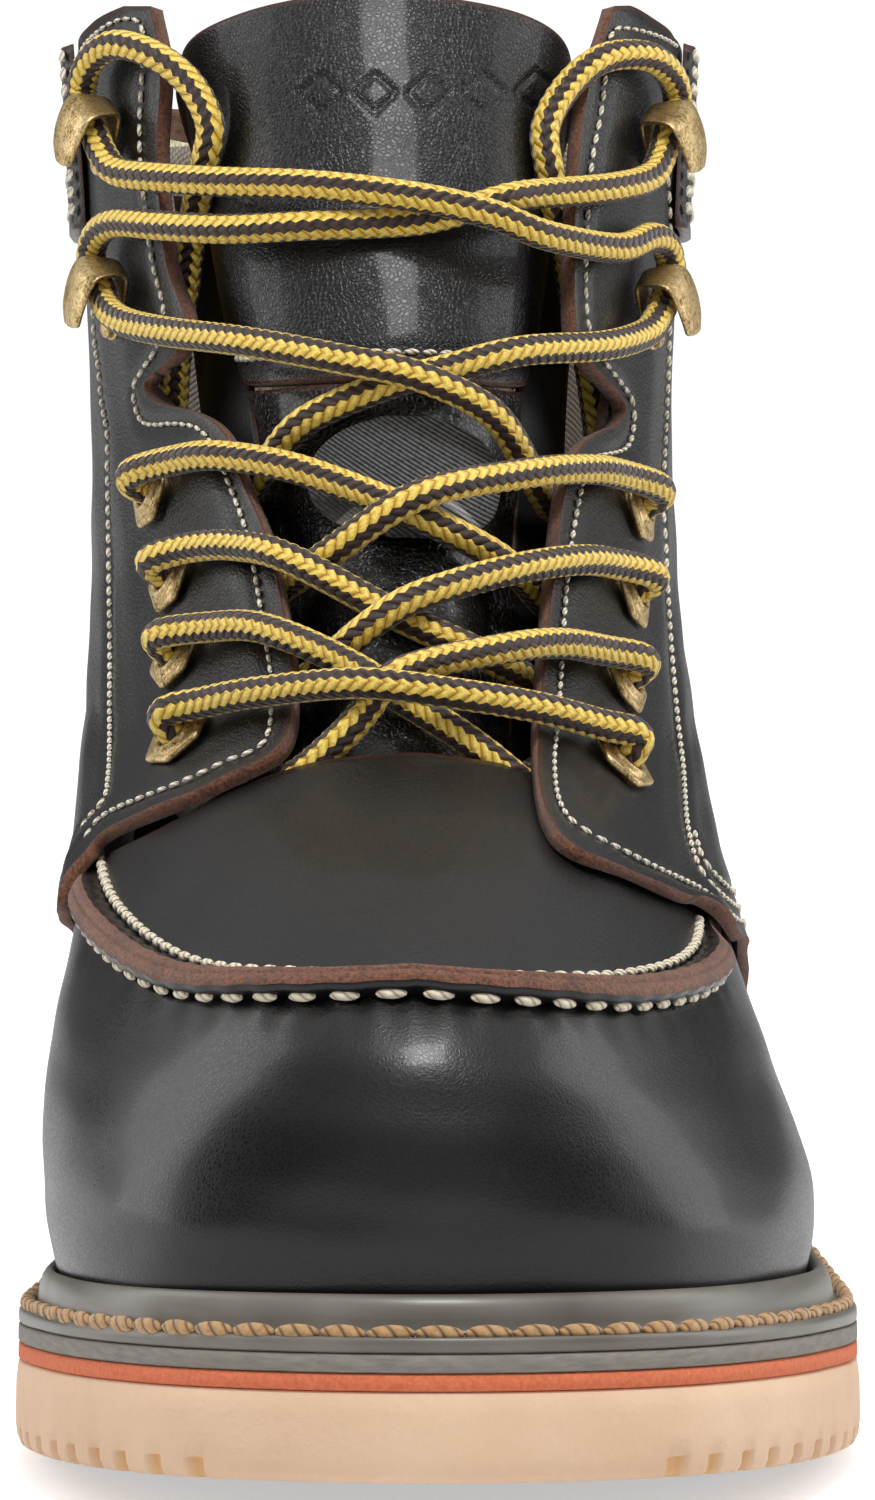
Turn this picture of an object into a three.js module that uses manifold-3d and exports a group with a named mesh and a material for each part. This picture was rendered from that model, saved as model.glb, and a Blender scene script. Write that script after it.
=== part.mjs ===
// Steel toe work boot, left foot: moc-toe upper, welted wedge sole, speed hooks.
// Millimetres. +Z up, toe towards -Y, medial side towards -X.
// The origin is on the ground under the middle of the boot's length and width.
//
// The upper is laid out on one smooth skin. A point of the skin has two
// coordinates: turn (0 at the toe, +1 or -1 at the heel, negative on the medial
// side) and level (0 at the feather line, 8 above the collar). Every leather,
// lining and stiffener is a patch of that skin between two offsets along its normal.

import * as THREE from 'three';
import { mergeVertices } from 'three/addons/utils/BufferGeometryUtils.js';
import Module from 'manifold-3d';

// ---------------------------------------------------------------- driving sizes

const SOLE_FRONT = -150;
const SOLE_BACK = 150;
const TOE_SPRING = 9.7;
const SPRING_START = -38;
const OUTSOLE_DROP = 6.8;      // top of the sole stack down to the outsole
const STRIPE = 2.3;
const WELT = 2.0;
const GAP = 0.15;
const LEATHER = 2.1;
const QUARTER = [0.9, 2.6];      // offsets of the quarters' inner and outer faces
const OVERLAY = [3.2, 4.9];      // the same for the pieces sewn on top of them
const CAP_BACK = -94;          // rear edge of the steel cap
const LACE_RADIUS = 2.0;
const EYELET_HOLE = 2.6;
const EYELET_BARREL = 3.3;
const BARREL_CLEARANCE = 3.7;
const TONGUE_START = 4.92;     // level of the tongue's sewn end

// Skin levels from the feather line up: front and back y, heights at four
// stations front to back, centre x front and back, and half-breadths at five
// stations on the lateral and on the medial side.
const LEVELS = [
  { ends: [-141, 138], heights: [28.5, 21.5, 31, 38], centre: [-2.5, -7],
    lateral: [35.5, 52, 47.3, 36, 26], medial: [34.5, 46, 37.5, 32.3, 25] },
  { ends: [-143, 141], heights: [41, 35, 45, 53], centre: [-2.5, -7],
    lateral: [35, 53, 49.2, 37.5, 27.3], medial: [34, 48.3, 40, 34.3, 26.8] },
  { ends: [-141, 142], heights: [54.5, 50, 60, 69], centre: [-2.5, -7],
    lateral: [29.5, 47.5, 46.5, 37, 27.5], medial: [30.5, 47.9, 42, 36.7, 27.5] },
  { ends: [-131, 141], heights: [67, 64, 73, 85], centre: [-3, -7],
    lateral: [24.6, 41.6, 43.3, 36.5, 27.3], medial: [25.5, 44.2, 42.5, 37.2, 27.3] },
  { ends: [-104, 138], heights: [79, 78, 87, 100], centre: [-3, -8],
    lateral: [21.5, 34.5, 40.5, 36.1, 26.6], medial: [22.1, 38.9, 42.3, 37.4, 26.8] },
  { ends: [-61, 135], heights: [92, 92, 101, 114], centre: [-4, -8],
    lateral: [18.9, 31.6, 38.7, 35.6, 25.6], medial: [19.2, 34.4, 40.9, 37.2, 26.2] },
  { ends: [-27, 133], heights: [114, 113, 119, 130], centre: [-5, -8],
    lateral: [18, 30.3, 37.7, 35.6, 25.7], medial: [18.6, 32.3, 40.1, 38.3, 27] },
  { ends: [5, 131], heights: [146, 145, 146, 151], centre: [-7, -8],
    lateral: [18.9, 31.2, 38.9, 36.6, 26.4], medial: [19.2, 32.7, 40.1, 38.4, 27.2] },
  { ends: [34, 129], heights: [192, 189, 184, 180], centre: [-8, -8],
    lateral: [20.5, 35.6, 41.2, 38.6, 27.6], medial: [20.9, 37.4, 42.2, 39.8, 28.2] },
];
const TOP_LEVEL = LEVELS.length - 1;

// Half-breadths of the sole at five stations, and the height of its top edge.
const SOLE = {
  centre: [0, -7],
  lateral: [36.5, 57.5, 53, 42, 29],
  medial: [37, 54, 44, 38.5, 29.5],
};
const SOLE_TOP = [[-150, 28.1], [-100, 23.2], [-50, 19.2], [0, 22.6], [50, 28.6], [100, 33.6],
  [150, 36.5]];

// The moc seam: its level at every tenth of a turn, from the toe backwards.
const SEAM = {
  lateral: [3.2, 3.1, 3.0, 3.06, 3.3, 3.6, 3.7],
  medial: [3.2, 3.14, 3.12, 3.42, 3.56, 3.6, 3.7],
};

// Front edge of each quarter from the feather line up, as [turn, level].
const FRONT_EDGE = {
  medial: [[0.6, 0.05], [0.55, 1.0], [0.47, 2.2], [0.4, 2.95], [0.357, 3.2], [0.36, 3.81],
    [0.33, 4.12], [0.205, 4.67], [0.132, 4.97], [0.12, 5.35], [0.127, 5.71], [0.145, 6.11], [0.172, 6.36],
    [0.193, 6.56], [0.235, 6.65], [0.31, 6.69], [0.328, 6.76], [0.26, 6.88], [0.242, 7.0],
    [0.268, 7.2], [0.268, 7.5], [0.25, 7.76], [0.258, 7.95]],
  lateral: [[0.6, 0.05], [0.55, 1.0], [0.47, 2.0], [0.41, 2.6], [0.36, 2.91], [0.33, 3.51],
    [0.302, 3.62], [0.233, 3.9], [0.162, 4.14], [0.138, 4.4], [0.138, 4.8], [0.15, 5.26], [0.175, 5.85],
    [0.198, 6.25], [0.223, 6.46], [0.262, 6.55], [0.325, 6.6], [0.335, 6.68], [0.252, 6.85],
    [0.228, 6.98], [0.228, 7.44], [0.24, 7.7], [0.275, 7.92]],
};

// Top edge of the shaft from the facing to the back seam, as [turn, level].
const TOP_EDGE = [[0.2, 7.93], [0.3, 7.96], [0.45, 7.9], [0.6, 7.82], [0.8, 7.72], [1, 7.68]];

// Eyelet rows from the throat up, then the hooks, as [turn, level, tilt].
const EYELETS = {
  medial: [[-0.255, 4.92, 0.75], [-0.268, 5.47, 0.5], [-0.28, 5.91, 0.35], [-0.315, 6.31, 0.25]],
  lateral: [[0.255, 4.75, -0.6], [0.282, 5.32, -0.4], [0.318, 5.82, -0.3], [0.35, 6.23, -0.2]],
};
const HOOKS = {
  medial: [[-0.355, 7.09, 0.7], [-0.335, 7.6, 0.7]],
  lateral: [[0.365, 7.05, -0.7], [0.35, 7.58, -0.7]],
};

// Route of the lace's centre as [turn, level, offset], from the medial tucked end
// through every hook and eyelet to the lateral one.
const LACE_ROUTE = [
  [-0.385, 5.75, -4.6], [-0.393, 6.0, -4.6], [-0.396, 6.3, -4.6], [-0.388, 6.6, -4.9],
  [-0.365, 6.88, -4.8], [-0.325, 7.12, -4.5], [-0.288, 7.29, -3.7], [-0.25, 7.4, -1.9],
  [-0.217, 7.5, 0.0], [-0.2, 7.6, 1.0], [-0.213, 7.71, 2.6], [-0.245, 7.79, 4.6], [-0.29, 7.83, 5.8],
  [-0.33, 7.79, 6.3], [-0.352, 7.7, 6.4], [-0.335, 7.6, 6.4], [-0.322, 7.52, 6.3], [-0.3, 7.46, 6.0],
  [-0.24, 7.43, 5.3], [-0.16, 7.4, 5.6], [-0.06, 7.36, 7.0], [0.035, 7.31, 7.9], [0.1, 7.27, 7.6],
  [0.16, 7.23, 6.3], [0.27, 7.22, 5.3], [0.33, 7.26, 5.8], [0.366, 7.24, 6.2], [0.384, 7.15, 6.4],
  [0.372, 7.05, 6.4], [0.352, 6.97, 6.3], [0.325, 6.92, 5.8], [0.25, 6.88, 5.0], [0.138, 6.85, 4.2],
  [0.06, 6.8, 2.6], [-0.01, 6.74, 2.3], [-0.1, 6.63, 0.8], [-0.165, 6.49, -1.8], [-0.23, 6.37, -4.2],
  [-0.295, 6.31, -4.6], [-0.315, 6.31, -2.4], [-0.315, 6.31, 5.3], [-0.297, 6.36, 7.4],
  [-0.25, 6.42, 5.6], [-0.19, 6.44, 5.0], [-0.115, 6.4, 3.8], [-0.05, 6.32, 3.0], [0.02, 6.2, 2.9],
  [0.105, 6.09, 0.4], [0.165, 6.0, -1.8], [0.235, 5.88, -4.2], [0.298, 5.83, -4.6], [0.318, 5.82, -2.4],
  [0.318, 5.82, 5.3], [0.302, 5.87, 7.4], [0.255, 5.94, 5.6], [0.2, 5.96, 5.1], [0.125, 5.91, 5.0],
  [0.05, 5.81, 5.2], [-0.002, 5.72, 4.9], [-0.05, 5.63, 2.4], [-0.088, 5.57, -0.4], [-0.125, 5.51, -2.2],
  [-0.19, 5.46, -4.2], [-0.25, 5.46, -4.6], [-0.268, 5.47, -2.4], [-0.268, 5.47, 5.3],
  [-0.253, 5.52, 7.4], [-0.2, 5.6, 5.5], [-0.15, 5.6, 5.4], [-0.105, 5.54, 4.4], [-0.05, 5.45, 2.2],
  [-0.005, 5.34, 0.8], [0.07, 5.12, -0.2], [0.13, 4.92, -1.9], [0.18, 4.8, -3.9], [0.238, 4.75, -4.6],
  [0.255, 4.75, -2.4], [0.255, 4.75, 5.3], [0.243, 4.82, 7.4], [0.2, 4.96, 6.0], [0.13, 5.1, 5.4],
  [0.04, 5.16, 6.4], [-0.045, 5.19, 7.2], [-0.15, 5.19, 5.6], [-0.21, 5.1, 6.0], [-0.244, 4.98, 7.4],
  [-0.255, 4.92, 5.3], [-0.255, 4.92, -2.4], [-0.24, 4.92, -4.6], [-0.185, 4.92, -4.0],
  [-0.128, 4.95, -1.9], [-0.07, 5.1, 1.0], [-0.045, 5.19, 2.5], [-0.005, 5.33, 5.2], [0.09, 5.46, 5.2],
  [0.16, 5.51, 5.1], [0.225, 5.46, 5.6], [0.268, 5.37, 7.4], [0.282, 5.32, 5.3], [0.282, 5.32, -2.4],
  [0.265, 5.34, -4.6], [0.21, 5.42, -4.2], [0.15, 5.52, -1.8], [0.085, 5.61, 0.1], [-0.002, 5.77, 0.8],
  [-0.11, 5.95, 5.1], [-0.17, 6.03, 4.9], [-0.225, 6.02, 5.6], [-0.265, 5.95, 7.4], [-0.28, 5.91, 5.3],
  [-0.28, 5.91, -2.4], [-0.262, 5.91, -4.6], [-0.2, 5.94, -4.2], [-0.138, 5.98, -1.6], [-0.07, 6.04, 2.9],
  [0.02, 6.19, 7.0], [0.13, 6.33, 5.6], [0.22, 6.38, 5.1], [0.285, 6.35, 5.7], [0.332, 6.28, 7.4],
  [0.35, 6.23, 5.3], [0.35, 6.23, -2.4], [0.33, 6.24, -4.6], [0.26, 6.31, -4.2], [0.195, 6.42, -1.8],
  [0.11, 6.61, 3.4], [0.03, 6.7, 6.7], [-0.05, 6.78, 6.6], [-0.142, 6.87, 5.8], [-0.24, 6.93, 5.2],
  [-0.31, 6.97, 5.8], [-0.342, 7.02, 6.3], [-0.355, 7.09, 6.4], [-0.374, 7.18, 6.4], [-0.356, 7.27, 6.3],
  [-0.315, 7.31, 5.8], [-0.25, 7.29, 5.1], [-0.165, 7.27, 4.2], [-0.07, 7.27, 4.3], [0.03, 7.29, 3.4],
  [0.09, 7.33, 3.5], [0.138, 7.36, 4.7], [0.25, 7.4, 5.2], [0.315, 7.44, 6.0], [0.338, 7.5, 6.3],
  [0.35, 7.58, 6.4], [0.367, 7.68, 6.4], [0.345, 7.76, 6.3], [0.3, 7.8, 5.8], [0.245, 7.78, 4.4],
  [0.21, 7.7, 2.4], [0.192, 7.59, 0.8], [0.205, 7.47, 0.1], [0.236, 7.36, -1.9], [0.28, 7.26, -3.6],
  [0.32, 7.1, -4.5], [0.365, 6.86, -4.6], [0.392, 6.56, -4.6], [0.402, 6.26, -4.6], [0.4, 5.96, -4.6],
  [0.392, 5.7, -4.6],
];
const AGLET_LENGTH = 18;
const AGLET_RADIUS = 1.9;

// ---------------------------------------------------------------- skin of the last

// Catmull-Rom through evenly spaced values with the given ghost ends.
function spline(values, x, before, after) {
  const last = values.length - 1;
  const clamped = Math.min(Math.max(x, 0), last);
  const i = Math.min(Math.floor(clamped), last - 1);
  const f = clamped - i;
  const p0 = i > 0 ? values[i - 1] : before;
  const p1 = values[i];
  const p2 = values[i + 1];
  const p3 = i + 2 <= last ? values[i + 2] : after;
  const cubic = 3 * p1 - p0 - 3 * p2 + p3;
  const square = 2 * p0 - 5 * p1 + 4 * p2 - p3;
  return 0.5 * (2 * p1 + (p2 - p0) * f + square * f * f + cubic * f * f * f);
}

// Spline whose ends run straight on.
function openSpline(values, x) {
  const n = values.length;
  return spline(values, x, 2 * values[0] - values[1], 2 * values[n - 1] - values[n - 2]);
}

// Half-breadth at a turn: zero at both ends of the foot, and smooth across them.
function breadth(stations, turn) {
  const values = [0, ...stations, 0];
  const n = values.length;
  return spline(values, Math.abs(turn) * (n - 1), -values[1], -values[n - 2]);
}

// A turn beyond the back seam comes round to the other side.
function wrapTurn(turn) {
  if (turn > 1) return turn - 2;
  if (turn < -1) return turn + 2;
  return turn;
}

const lengthwise = (turn) => (1 - Math.cos(Math.PI * Math.abs(turn))) / 2;

const atLevel = (pick, level) => openSpline(LEVELS.map(pick), level);

function skinPoint(turnIn, level) {
  const turn = wrapTurn(turnIn);
  const along = lengthwise(turn);
  const front = atLevel((r) => r.ends[0], level);
  const back = atLevel((r) => r.ends[1], level);
  const heights = [0, 1, 2, 3].map((k) => atLevel((r) => r.heights[k], level));
  const centre = [0, 1].map((k) => atLevel((r) => r.centre[k], level));
  const side = turn < 0 ? 'medial' : 'lateral';
  const stations = [0, 1, 2, 3, 4].map((k) => atLevel((r) => r[side][k], level));
  const half = breadth(stations, turn) * (turn < 0 ? -1 : 1);
  return new THREE.Vector3(
    centre[0] + (centre[1] - centre[0]) * along + half,
    front + (back - front) * along,
    openSpline(heights, along * 3),
  );
}

function skinNormal(turn, level) {
  const low = Math.max(level - 0.005, 0);
  const high = Math.min(level + 0.005, TOP_LEVEL);
  const across = skinPoint(turn + 0.001, level).sub(skinPoint(turn - 0.001, level));
  const up = skinPoint(turn, high).sub(skinPoint(turn, low));
  return across.cross(up).normalize();
}

// The point of the upper at an offset out of the skin.
function place(turn, level, offset) {
  return skinPoint(turn, level).addScaledVector(skinNormal(turn, level), offset);
}

// Piecewise linear value of a list of [x, y] pairs.
function lookup(pairs, x) {
  let k = 1;
  while (k < pairs.length - 1 && x > pairs[k][0]) k += 1;
  const [x0, y0] = pairs[k - 1];
  const [x1, y1] = pairs[k];
  return y0 + (y1 - y0) * THREE.MathUtils.clamp((x - x0) / (x1 - x0), 0, 1);
}

const lerp = THREE.MathUtils.lerp;

const smooth = (x, low, high) => THREE.MathUtils.smoothstep(x, low, high);

const seamLevel = (turn) => openSpline(turn < 0 ? SEAM.medial : SEAM.lateral, Math.abs(turn) * 10);

const topLevel = (turn) => lookup(TOP_EDGE, 1 - Math.abs(1 - Math.abs(turn)));

// ---------------------------------------------------------------- mesh builders

const boot = new THREE.Group();

function finish(name, geometry, colour, roughness, metalness = 0) {
  const material = new THREE.MeshStandardMaterial({ color: colour, roughness, metalness });
  const mesh = new THREE.Mesh(geometry, material);
  mesh.name = name;
  boot.add(mesh);
  return mesh;
}

// Joins shared corners, drops collapsed triangles and turns the faces outwards.
function closedGeometry(points, faces) {
  const raw = new THREE.BufferGeometry();
  const flat = points.flatMap((p) => [p.x, p.y, p.z]);
  raw.setAttribute('position', new THREE.Float32BufferAttribute(flat, 3));
  raw.setIndex(faces.flat());
  const merged = mergeVertices(raw, 1e-3);
  const index = merged.index.array;
  const position = merged.attributes.position;
  const kept = [];
  let volume = 0;
  const corner = [0, 1, 2].map(() => new THREE.Vector3());
  for (let i = 0; i < index.length; i += 3) {
    const tri = [index[i], index[i + 1], index[i + 2]];
    if (tri[0] === tri[1] || tri[1] === tri[2] || tri[0] === tri[2]) continue;
    tri.forEach((v, k) => corner[k].fromBufferAttribute(position, v));
    volume += corner[0].dot(corner[1].clone().cross(corner[2]));
    kept.push(tri);
  }
  merged.setIndex((volume < 0 ? kept.map((t) => [t[0], t[2], t[1]]) : kept).flat());
  return merged;
}

// A closed shell over a grid: pointAt(i, j, side) gives the inner (0) and outer (1) skins.
function shell(columns, rows, pointAt, loop = false) {
  const points = [];
  const faces = [];
  const across = loop ? columns : columns + 1;
  for (let side = 0; side < 2; side += 1) {
    for (let j = 0; j <= rows; j += 1) {
      for (let i = 0; i < across; i += 1) points.push(pointAt(i, j, side));
    }
  }
  const id = (i, j, side) => side * across * (rows + 1) + j * across + (i % across);
  const quad = (a, b, c, d) => faces.push([a, b, c], [a, c, d]);
  for (let j = 0; j < rows; j += 1) {
    for (let i = 0; i < columns; i += 1) {
      quad(id(i, j, 1), id(i + 1, j, 1), id(i + 1, j + 1, 1), id(i, j + 1, 1));
      quad(id(i, j, 0), id(i, j + 1, 0), id(i + 1, j + 1, 0), id(i + 1, j, 0));
    }
  }
  for (let i = 0; i < columns; i += 1) {
    quad(id(i, 0, 0), id(i + 1, 0, 0), id(i + 1, 0, 1), id(i, 0, 1));
    quad(id(i, rows, 1), id(i + 1, rows, 1), id(i + 1, rows, 0), id(i, rows, 0));
  }
  for (let j = 0; j < rows && !loop; j += 1) {
    quad(id(0, j, 0), id(0, j, 1), id(0, j + 1, 1), id(0, j + 1, 0));
    quad(id(columns, j, 1), id(columns, j, 0), id(columns, j + 1, 0), id(columns, j + 1, 1));
  }
  return closedGeometry(points, faces);
}

// A patch of the skin: where(u, v) gives [turn, level]; inner and outer give offsets.
function patch(columns, rowStops, where, inner, outer) {
  return shell(columns, rowStops.length - 1, (i, j, side) => {
    const v = rowStops[j];
    const [turn, level] = where(i / columns, v);
    const offset = side ? outer : inner;
    return place(turn, level, typeof offset === 'number' ? offset : offset(turn, level, v));
  });
}

const evenly = (count) => Array.from({ length: count + 1 }, (_, k) => k / count);

// Solid between horizontal outlines: each ring is {at(turn) -> point}, from the bottom up.
// The caps are strips between the two sides of the foot.
function stack(count, rings) {
  const points = [];
  const faces = [];
  rings.forEach((ring) => {
    for (let k = 0; k < count; k += 1) points.push(ring(-1 + (2 * k) / count));
  });
  const last = (rings.length - 1) * count;
  for (let r = 0; r < rings.length - 1; r += 1) {
    for (let k = 0; k < count; k += 1) {
      const next = (k + 1) % count;
      const a = r * count + k;
      const b = r * count + next;
      faces.push([a, b, b + count], [a, b + count, a + count]);
    }
  }
  for (let k = 0; k < count / 2; k += 1) {
    const pair = [k, k + 1, count - k - 1, (count - k) % count];
    const cap = pair[0] === pair[3] ? [[0, 1, 2]] : [[0, 1, 2], [0, 2, 3]];
    cap.forEach(([a, b, c]) => {
      faces.push([last + pair[a], last + pair[b], last + pair[c]]);
      faces.push([pair[a], pair[c], pair[b]]);
    });
  }
  return closedGeometry(points, faces);
}

// ---------------------------------------------------------------- booleans

const wasm = await Module();
wasm.setup();

function toSolid(geometry) {
  const clean = geometry.clone();
  clean.deleteAttribute('normal');
  clean.deleteAttribute('uv');
  const merged = mergeVertices(clean, 1e-3);
  return new wasm.Manifold(new wasm.Mesh({
    numProp: 3,
    vertProperties: new Float32Array(merged.attributes.position.array),
    triVerts: new Uint32Array(merged.index.array),
  }));
}

function toGeometry(solid) {
  const mesh = solid.getMesh();
  const geometry = new THREE.BufferGeometry();
  geometry.setAttribute('position', new THREE.BufferAttribute(mesh.vertProperties, 3));
  geometry.setIndex(new THREE.BufferAttribute(mesh.triVerts, 1));
  return geometry;
}

function cut(geometry, tools) {
  return toGeometry(tools.reduce((solid, tool) => solid.subtract(toSolid(tool)), toSolid(geometry)));
}

function join(first, ...others) {
  return toGeometry(others.reduce((solid, other) => solid.add(toSolid(other)), toSolid(first)));
}

// Local axes on the skin: x along the turn, z out of the skin, turned by a tilt about z.
function seat(turn, level, offset, tilt = 0) {
  const out = skinNormal(turn, level);
  const up = skinPoint(turn, level + 0.01).sub(skinPoint(turn, level - 0.01));
  up.addScaledVector(out, -up.dot(out)).normalize();
  const across = up.clone().cross(out);
  const frame = new THREE.Matrix4().makeBasis(across, up, out);
  frame.multiply(new THREE.Matrix4().makeRotationZ(tilt));
  return frame.setPosition(place(turn, level, offset));
}

// ---------------------------------------------------------------- sole unit

const toeSpring = (y) => (y < SPRING_START
  ? TOE_SPRING * ((SPRING_START - y) / (SPRING_START - SOLE_FRONT)) ** 1.25
  : 0);

function soleTop(y) {
  return openSpline(SOLE_TOP.map((p) => p[1]), (y - SOLE_FRONT) / 50);
}

function soleEdge(turn) {
  const along = lengthwise(turn);
  const side = turn < 0 ? -1 : 1;
  const half = breadth(turn < 0 ? SOLE.medial : SOLE.lateral, turn) * side;
  return new THREE.Vector2(lerp(...SOLE.centre, along) + half, lerp(SOLE_FRONT, SOLE_BACK, along));
}

// The sole's outline moved inwards by an inset.
function soleInset(turn, inset) {
  const tangent = soleEdge(wrapTurn(turn + 0.002)).sub(soleEdge(wrapTurn(turn - 0.002))).normalize();
  const here = soleEdge(turn);
  return new THREE.Vector2(here.x - tangent.y * inset, here.y + tangent.x * inset);
}

const soleRing = (inset, height) => (turn) => {
  const edge = soleInset(turn, inset);
  return new THREE.Vector3(edge.x, edge.y, height(edge.y));
};

// How far the upper's outer face stands off the skin at the feather line.
function featherOffset(turn) {
  const round = Math.abs(turn);
  return 0.2 + 2.4 * smooth(round, 0.46, 0.6) + 2.3 * smooth(round, 0.7, 0.8);
}

function featherPoint(turn, outward, height) {
  const base = place(turn, 0.02, featherOffset(turn));
  const out = skinNormal(turn, 0.02).setZ(0).normalize();
  base.addScaledVector(out, outward);
  return base.setZ(soleTop(base.y) + height);
}

const SOLE_POINTS = 52;

function outsole() {
  const top = (y) => soleTop(y) - OUTSOLE_DROP - GAP;
  return stack(SOLE_POINTS, [
    soleRing(1.4, toeSpring),
    soleRing(0.3, (y) => toeSpring(y) + 1.6),
    soleRing(0, (y) => lerp(toeSpring(y), top(y), 0.6)),
    soleRing(0.5, top),
  ]);
}

function midsoleStripe() {
  return stack(SOLE_POINTS, [
    soleRing(0.5, (y) => soleTop(y) - OUTSOLE_DROP),
    soleRing(0.5, (y) => soleTop(y) - OUTSOLE_DROP + STRIPE - GAP),
  ]);
}

function midsole() {
  return stack(SOLE_POINTS, [
    soleRing(0.5, (y) => soleTop(y) - OUTSOLE_DROP + STRIPE),
    soleRing(0.6, (y) => soleTop(y) - WELT - GAP),
  ]);
}

// The welt: a flat strip out to the sole's edge with a rolled rib against the upper.
function stormWelt() {
  const count = 52;
  const profile = (turn) => {
    const edge = soleInset(turn, 0.7);
    const flange = (height) => new THREE.Vector3(edge.x, edge.y, soleTop(edge.y) + height);
    return [
      featherPoint(turn, -3, -WELT), flange(-WELT), flange(0),
      featherPoint(turn, 4.2, 0), featherPoint(turn, 4.2, 3.2),
      featherPoint(turn, 2.6, 5.2), featherPoint(turn, 1.3, 4.4), featherPoint(turn, 0.6, 0.8),
      featherPoint(turn, -3, 0.3),
    ];
  };
  const rings = Array.from({ length: count }, (_, k) => profile(-1 + (2 * k) / count));
  const size = rings[0].length;
  const faces = [];
  for (let k = 0; k < count; k += 1) {
    for (let p = 0; p < size; p += 1) {
      const a = k * size + p;
      const b = k * size + ((p + 1) % size);
      const c = ((k + 1) % count) * size + ((p + 1) % size);
      const d = ((k + 1) % count) * size + p;
      faces.push([a, b, c], [a, c, d]);
    }
  }
  return closedGeometry(rings.flat(), faces);
}

// A flat layer inside the upper, following the feather line.
function innerLayer(offset, low, high, crown = 0) {
  const ring = (height, inset) => (turn) => {
    const p = place(turn, 0.3, offset - inset);
    return p.setZ(soleTop(p.y) + height);
  };
  return stack(36, [ring(low, 0), ring(high, crown)]);
}

const CORK_LOW = -1.9;
const SHANK = { from: -30, to: 78, width: 14, thick: 1.6 };

function shankStrip(grow, top) {
  const count = 10;
  const points = [];
  const faces = [];
  for (let k = 0; k <= count; k += 1) {
    const y = lerp(SHANK.from - grow, SHANK.to + grow, k / count);
    const half = SHANK.width / 2 + grow;
    const low = soleTop(y) + CORK_LOW + 0.7 - grow;
    [[-half, low], [half, low], [half, low + SHANK.thick + top], [-half, low + SHANK.thick + top]]
      .forEach(([x, z]) => points.push(new THREE.Vector3(x - 3, y, z)));
  }
  for (let k = 0; k < count; k += 1) {
    for (let p = 0; p < 4; p += 1) {
      const a = 4 * k + p;
      const b = 4 * k + ((p + 1) % 4);
      faces.push([a, b, b + 4], [a, b + 4, a + 4]);
    }
  }
  const end = 4 * count;
  faces.push([0, 2, 1], [0, 3, 2], [end, end + 1, end + 2], [end, end + 2, end + 3]);
  return closedGeometry(points, faces);
}

finish('outsole', outsole(), '#e0bf9e', 0.8);
finish('midsole_stripe', midsoleStripe(), '#cf7a58', 0.8);
finish('midsole', midsole(), '#8f8981', 0.75);
finish('storm_welt', stormWelt(), '#85807a', 0.45);
finish('cork_filler', cut(innerLayer(-4.6, CORK_LOW, 0.2), [shankStrip(0.3, 9)]), '#a5794c', 0.95);
finish('steel_shank', shankStrip(0, 0), '#a9adb0', 0.4, 1);
finish('insole_board', innerLayer(-7.6, 0.8, 3.2), '#b08a5c', 0.9);
finish('footbed', innerLayer(-8.0, 3.5, 8.2, 0.9), '#5a5652', 0.95);

// ---------------------------------------------------------------- toe protection and stiffeners

// Turn at which a level crosses the plane y, and the highest level that reaches it.
function turnAt(level, y) {
  const front = atLevel((r) => r.ends[0], level);
  const back = atLevel((r) => r.ends[1], level);
  return Math.acos(THREE.MathUtils.clamp(1 - (2 * (y - front)) / (back - front), -1, 1)) / Math.PI;
}

function levelReaching(y) {
  let low = 3;
  let high = 6;
  for (let k = 0; k < 30; k += 1) {
    const middle = (low + high) / 2;
    if (atLevel((r) => r.ends[0], middle) < y) low = middle;
    else high = middle;
  }
  return low;
}

const CAP_INNER = -4.8;
const CAP_OUTER = -2.9;

function steelToeCap() {
  const crown = levelReaching(CAP_BACK);
  return patch(14, evenly(8), (u, v) => {
    const level = lerp(0.12, crown, 1 - (1 - v) ** 1.4);
    return [lerp(-1, 1, u) * turnAt(level, CAP_BACK), level];
  }, CAP_INNER, CAP_OUTER);
}

// Soft strip that closes the gap behind the cap's edge.
function toeCapTrim() {
  return patch(16, [0, 1], (u, v) => {
    const y = CAP_BACK + 0.6 + 6 * v;
    const crown = levelReaching(y);
    const side = lerp(-1, 1, u);
    const level = crown - (crown - 0.12) * side * side;
    return [Math.sign(side) * turnAt(level, y), level];
  }, CAP_INNER, CAP_OUTER);
}

finish('steel_toe_cap', steelToeCap(), '#8d9296', 0.45, 1);
finish('toe_cap_trim', toeCapTrim(), '#2b2b2d', 0.9);
finish('heel_counter', patch(14, evenly(3), (u, v) => {
  const turn = lerp(0.72, 1.28, u);
  return [turn, lerp(0.15, 3.3 - 9 * (turn - 1) ** 2, v)];
}, -2.8, -1.4), '#9a7f63', 0.9);

// ---------------------------------------------------------------- vamp and apron

const VAMP_END = 0.56;
const SEAM_GAP = 0.02;

finish('vamp', patch(28, evenly(5), (u, v) => {
  const turn = lerp(-VAMP_END, VAMP_END, u);
  return [turn, lerp(0.02, seamLevel(turn) - SEAM_GAP, v)];
}, -LEATHER, 0), '#2e2b30', 0.35);

// Half-width of the apron in turns: wide at the toe, narrow under the facings.
const apronHalf = (level) => lookup([[3, 0.43], [3.9, 0.4], [4.3, 0.25], [5.05, 0.16]], level);
const apronEnd = (turn) => 5.04 - 18 * turn * turn;
const LIP = 3.2;
const lipHeight = (turn) => LIP * (1 - smooth(Math.abs(turn), 0.27, 0.3));

function apronPlace(u, v) {
  const turn = lerp(-1, 1, u) * apronHalf(lerp(3.2, 5.04, v));
  return [turn, lerp(seamLevel(turn) + SEAM_GAP, apronEnd(turn), v)];
}

const APRON_ROWS = [0, 0.045, 0.075, 0.25, 0.45, 0.65, 0.82, 1];

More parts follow.
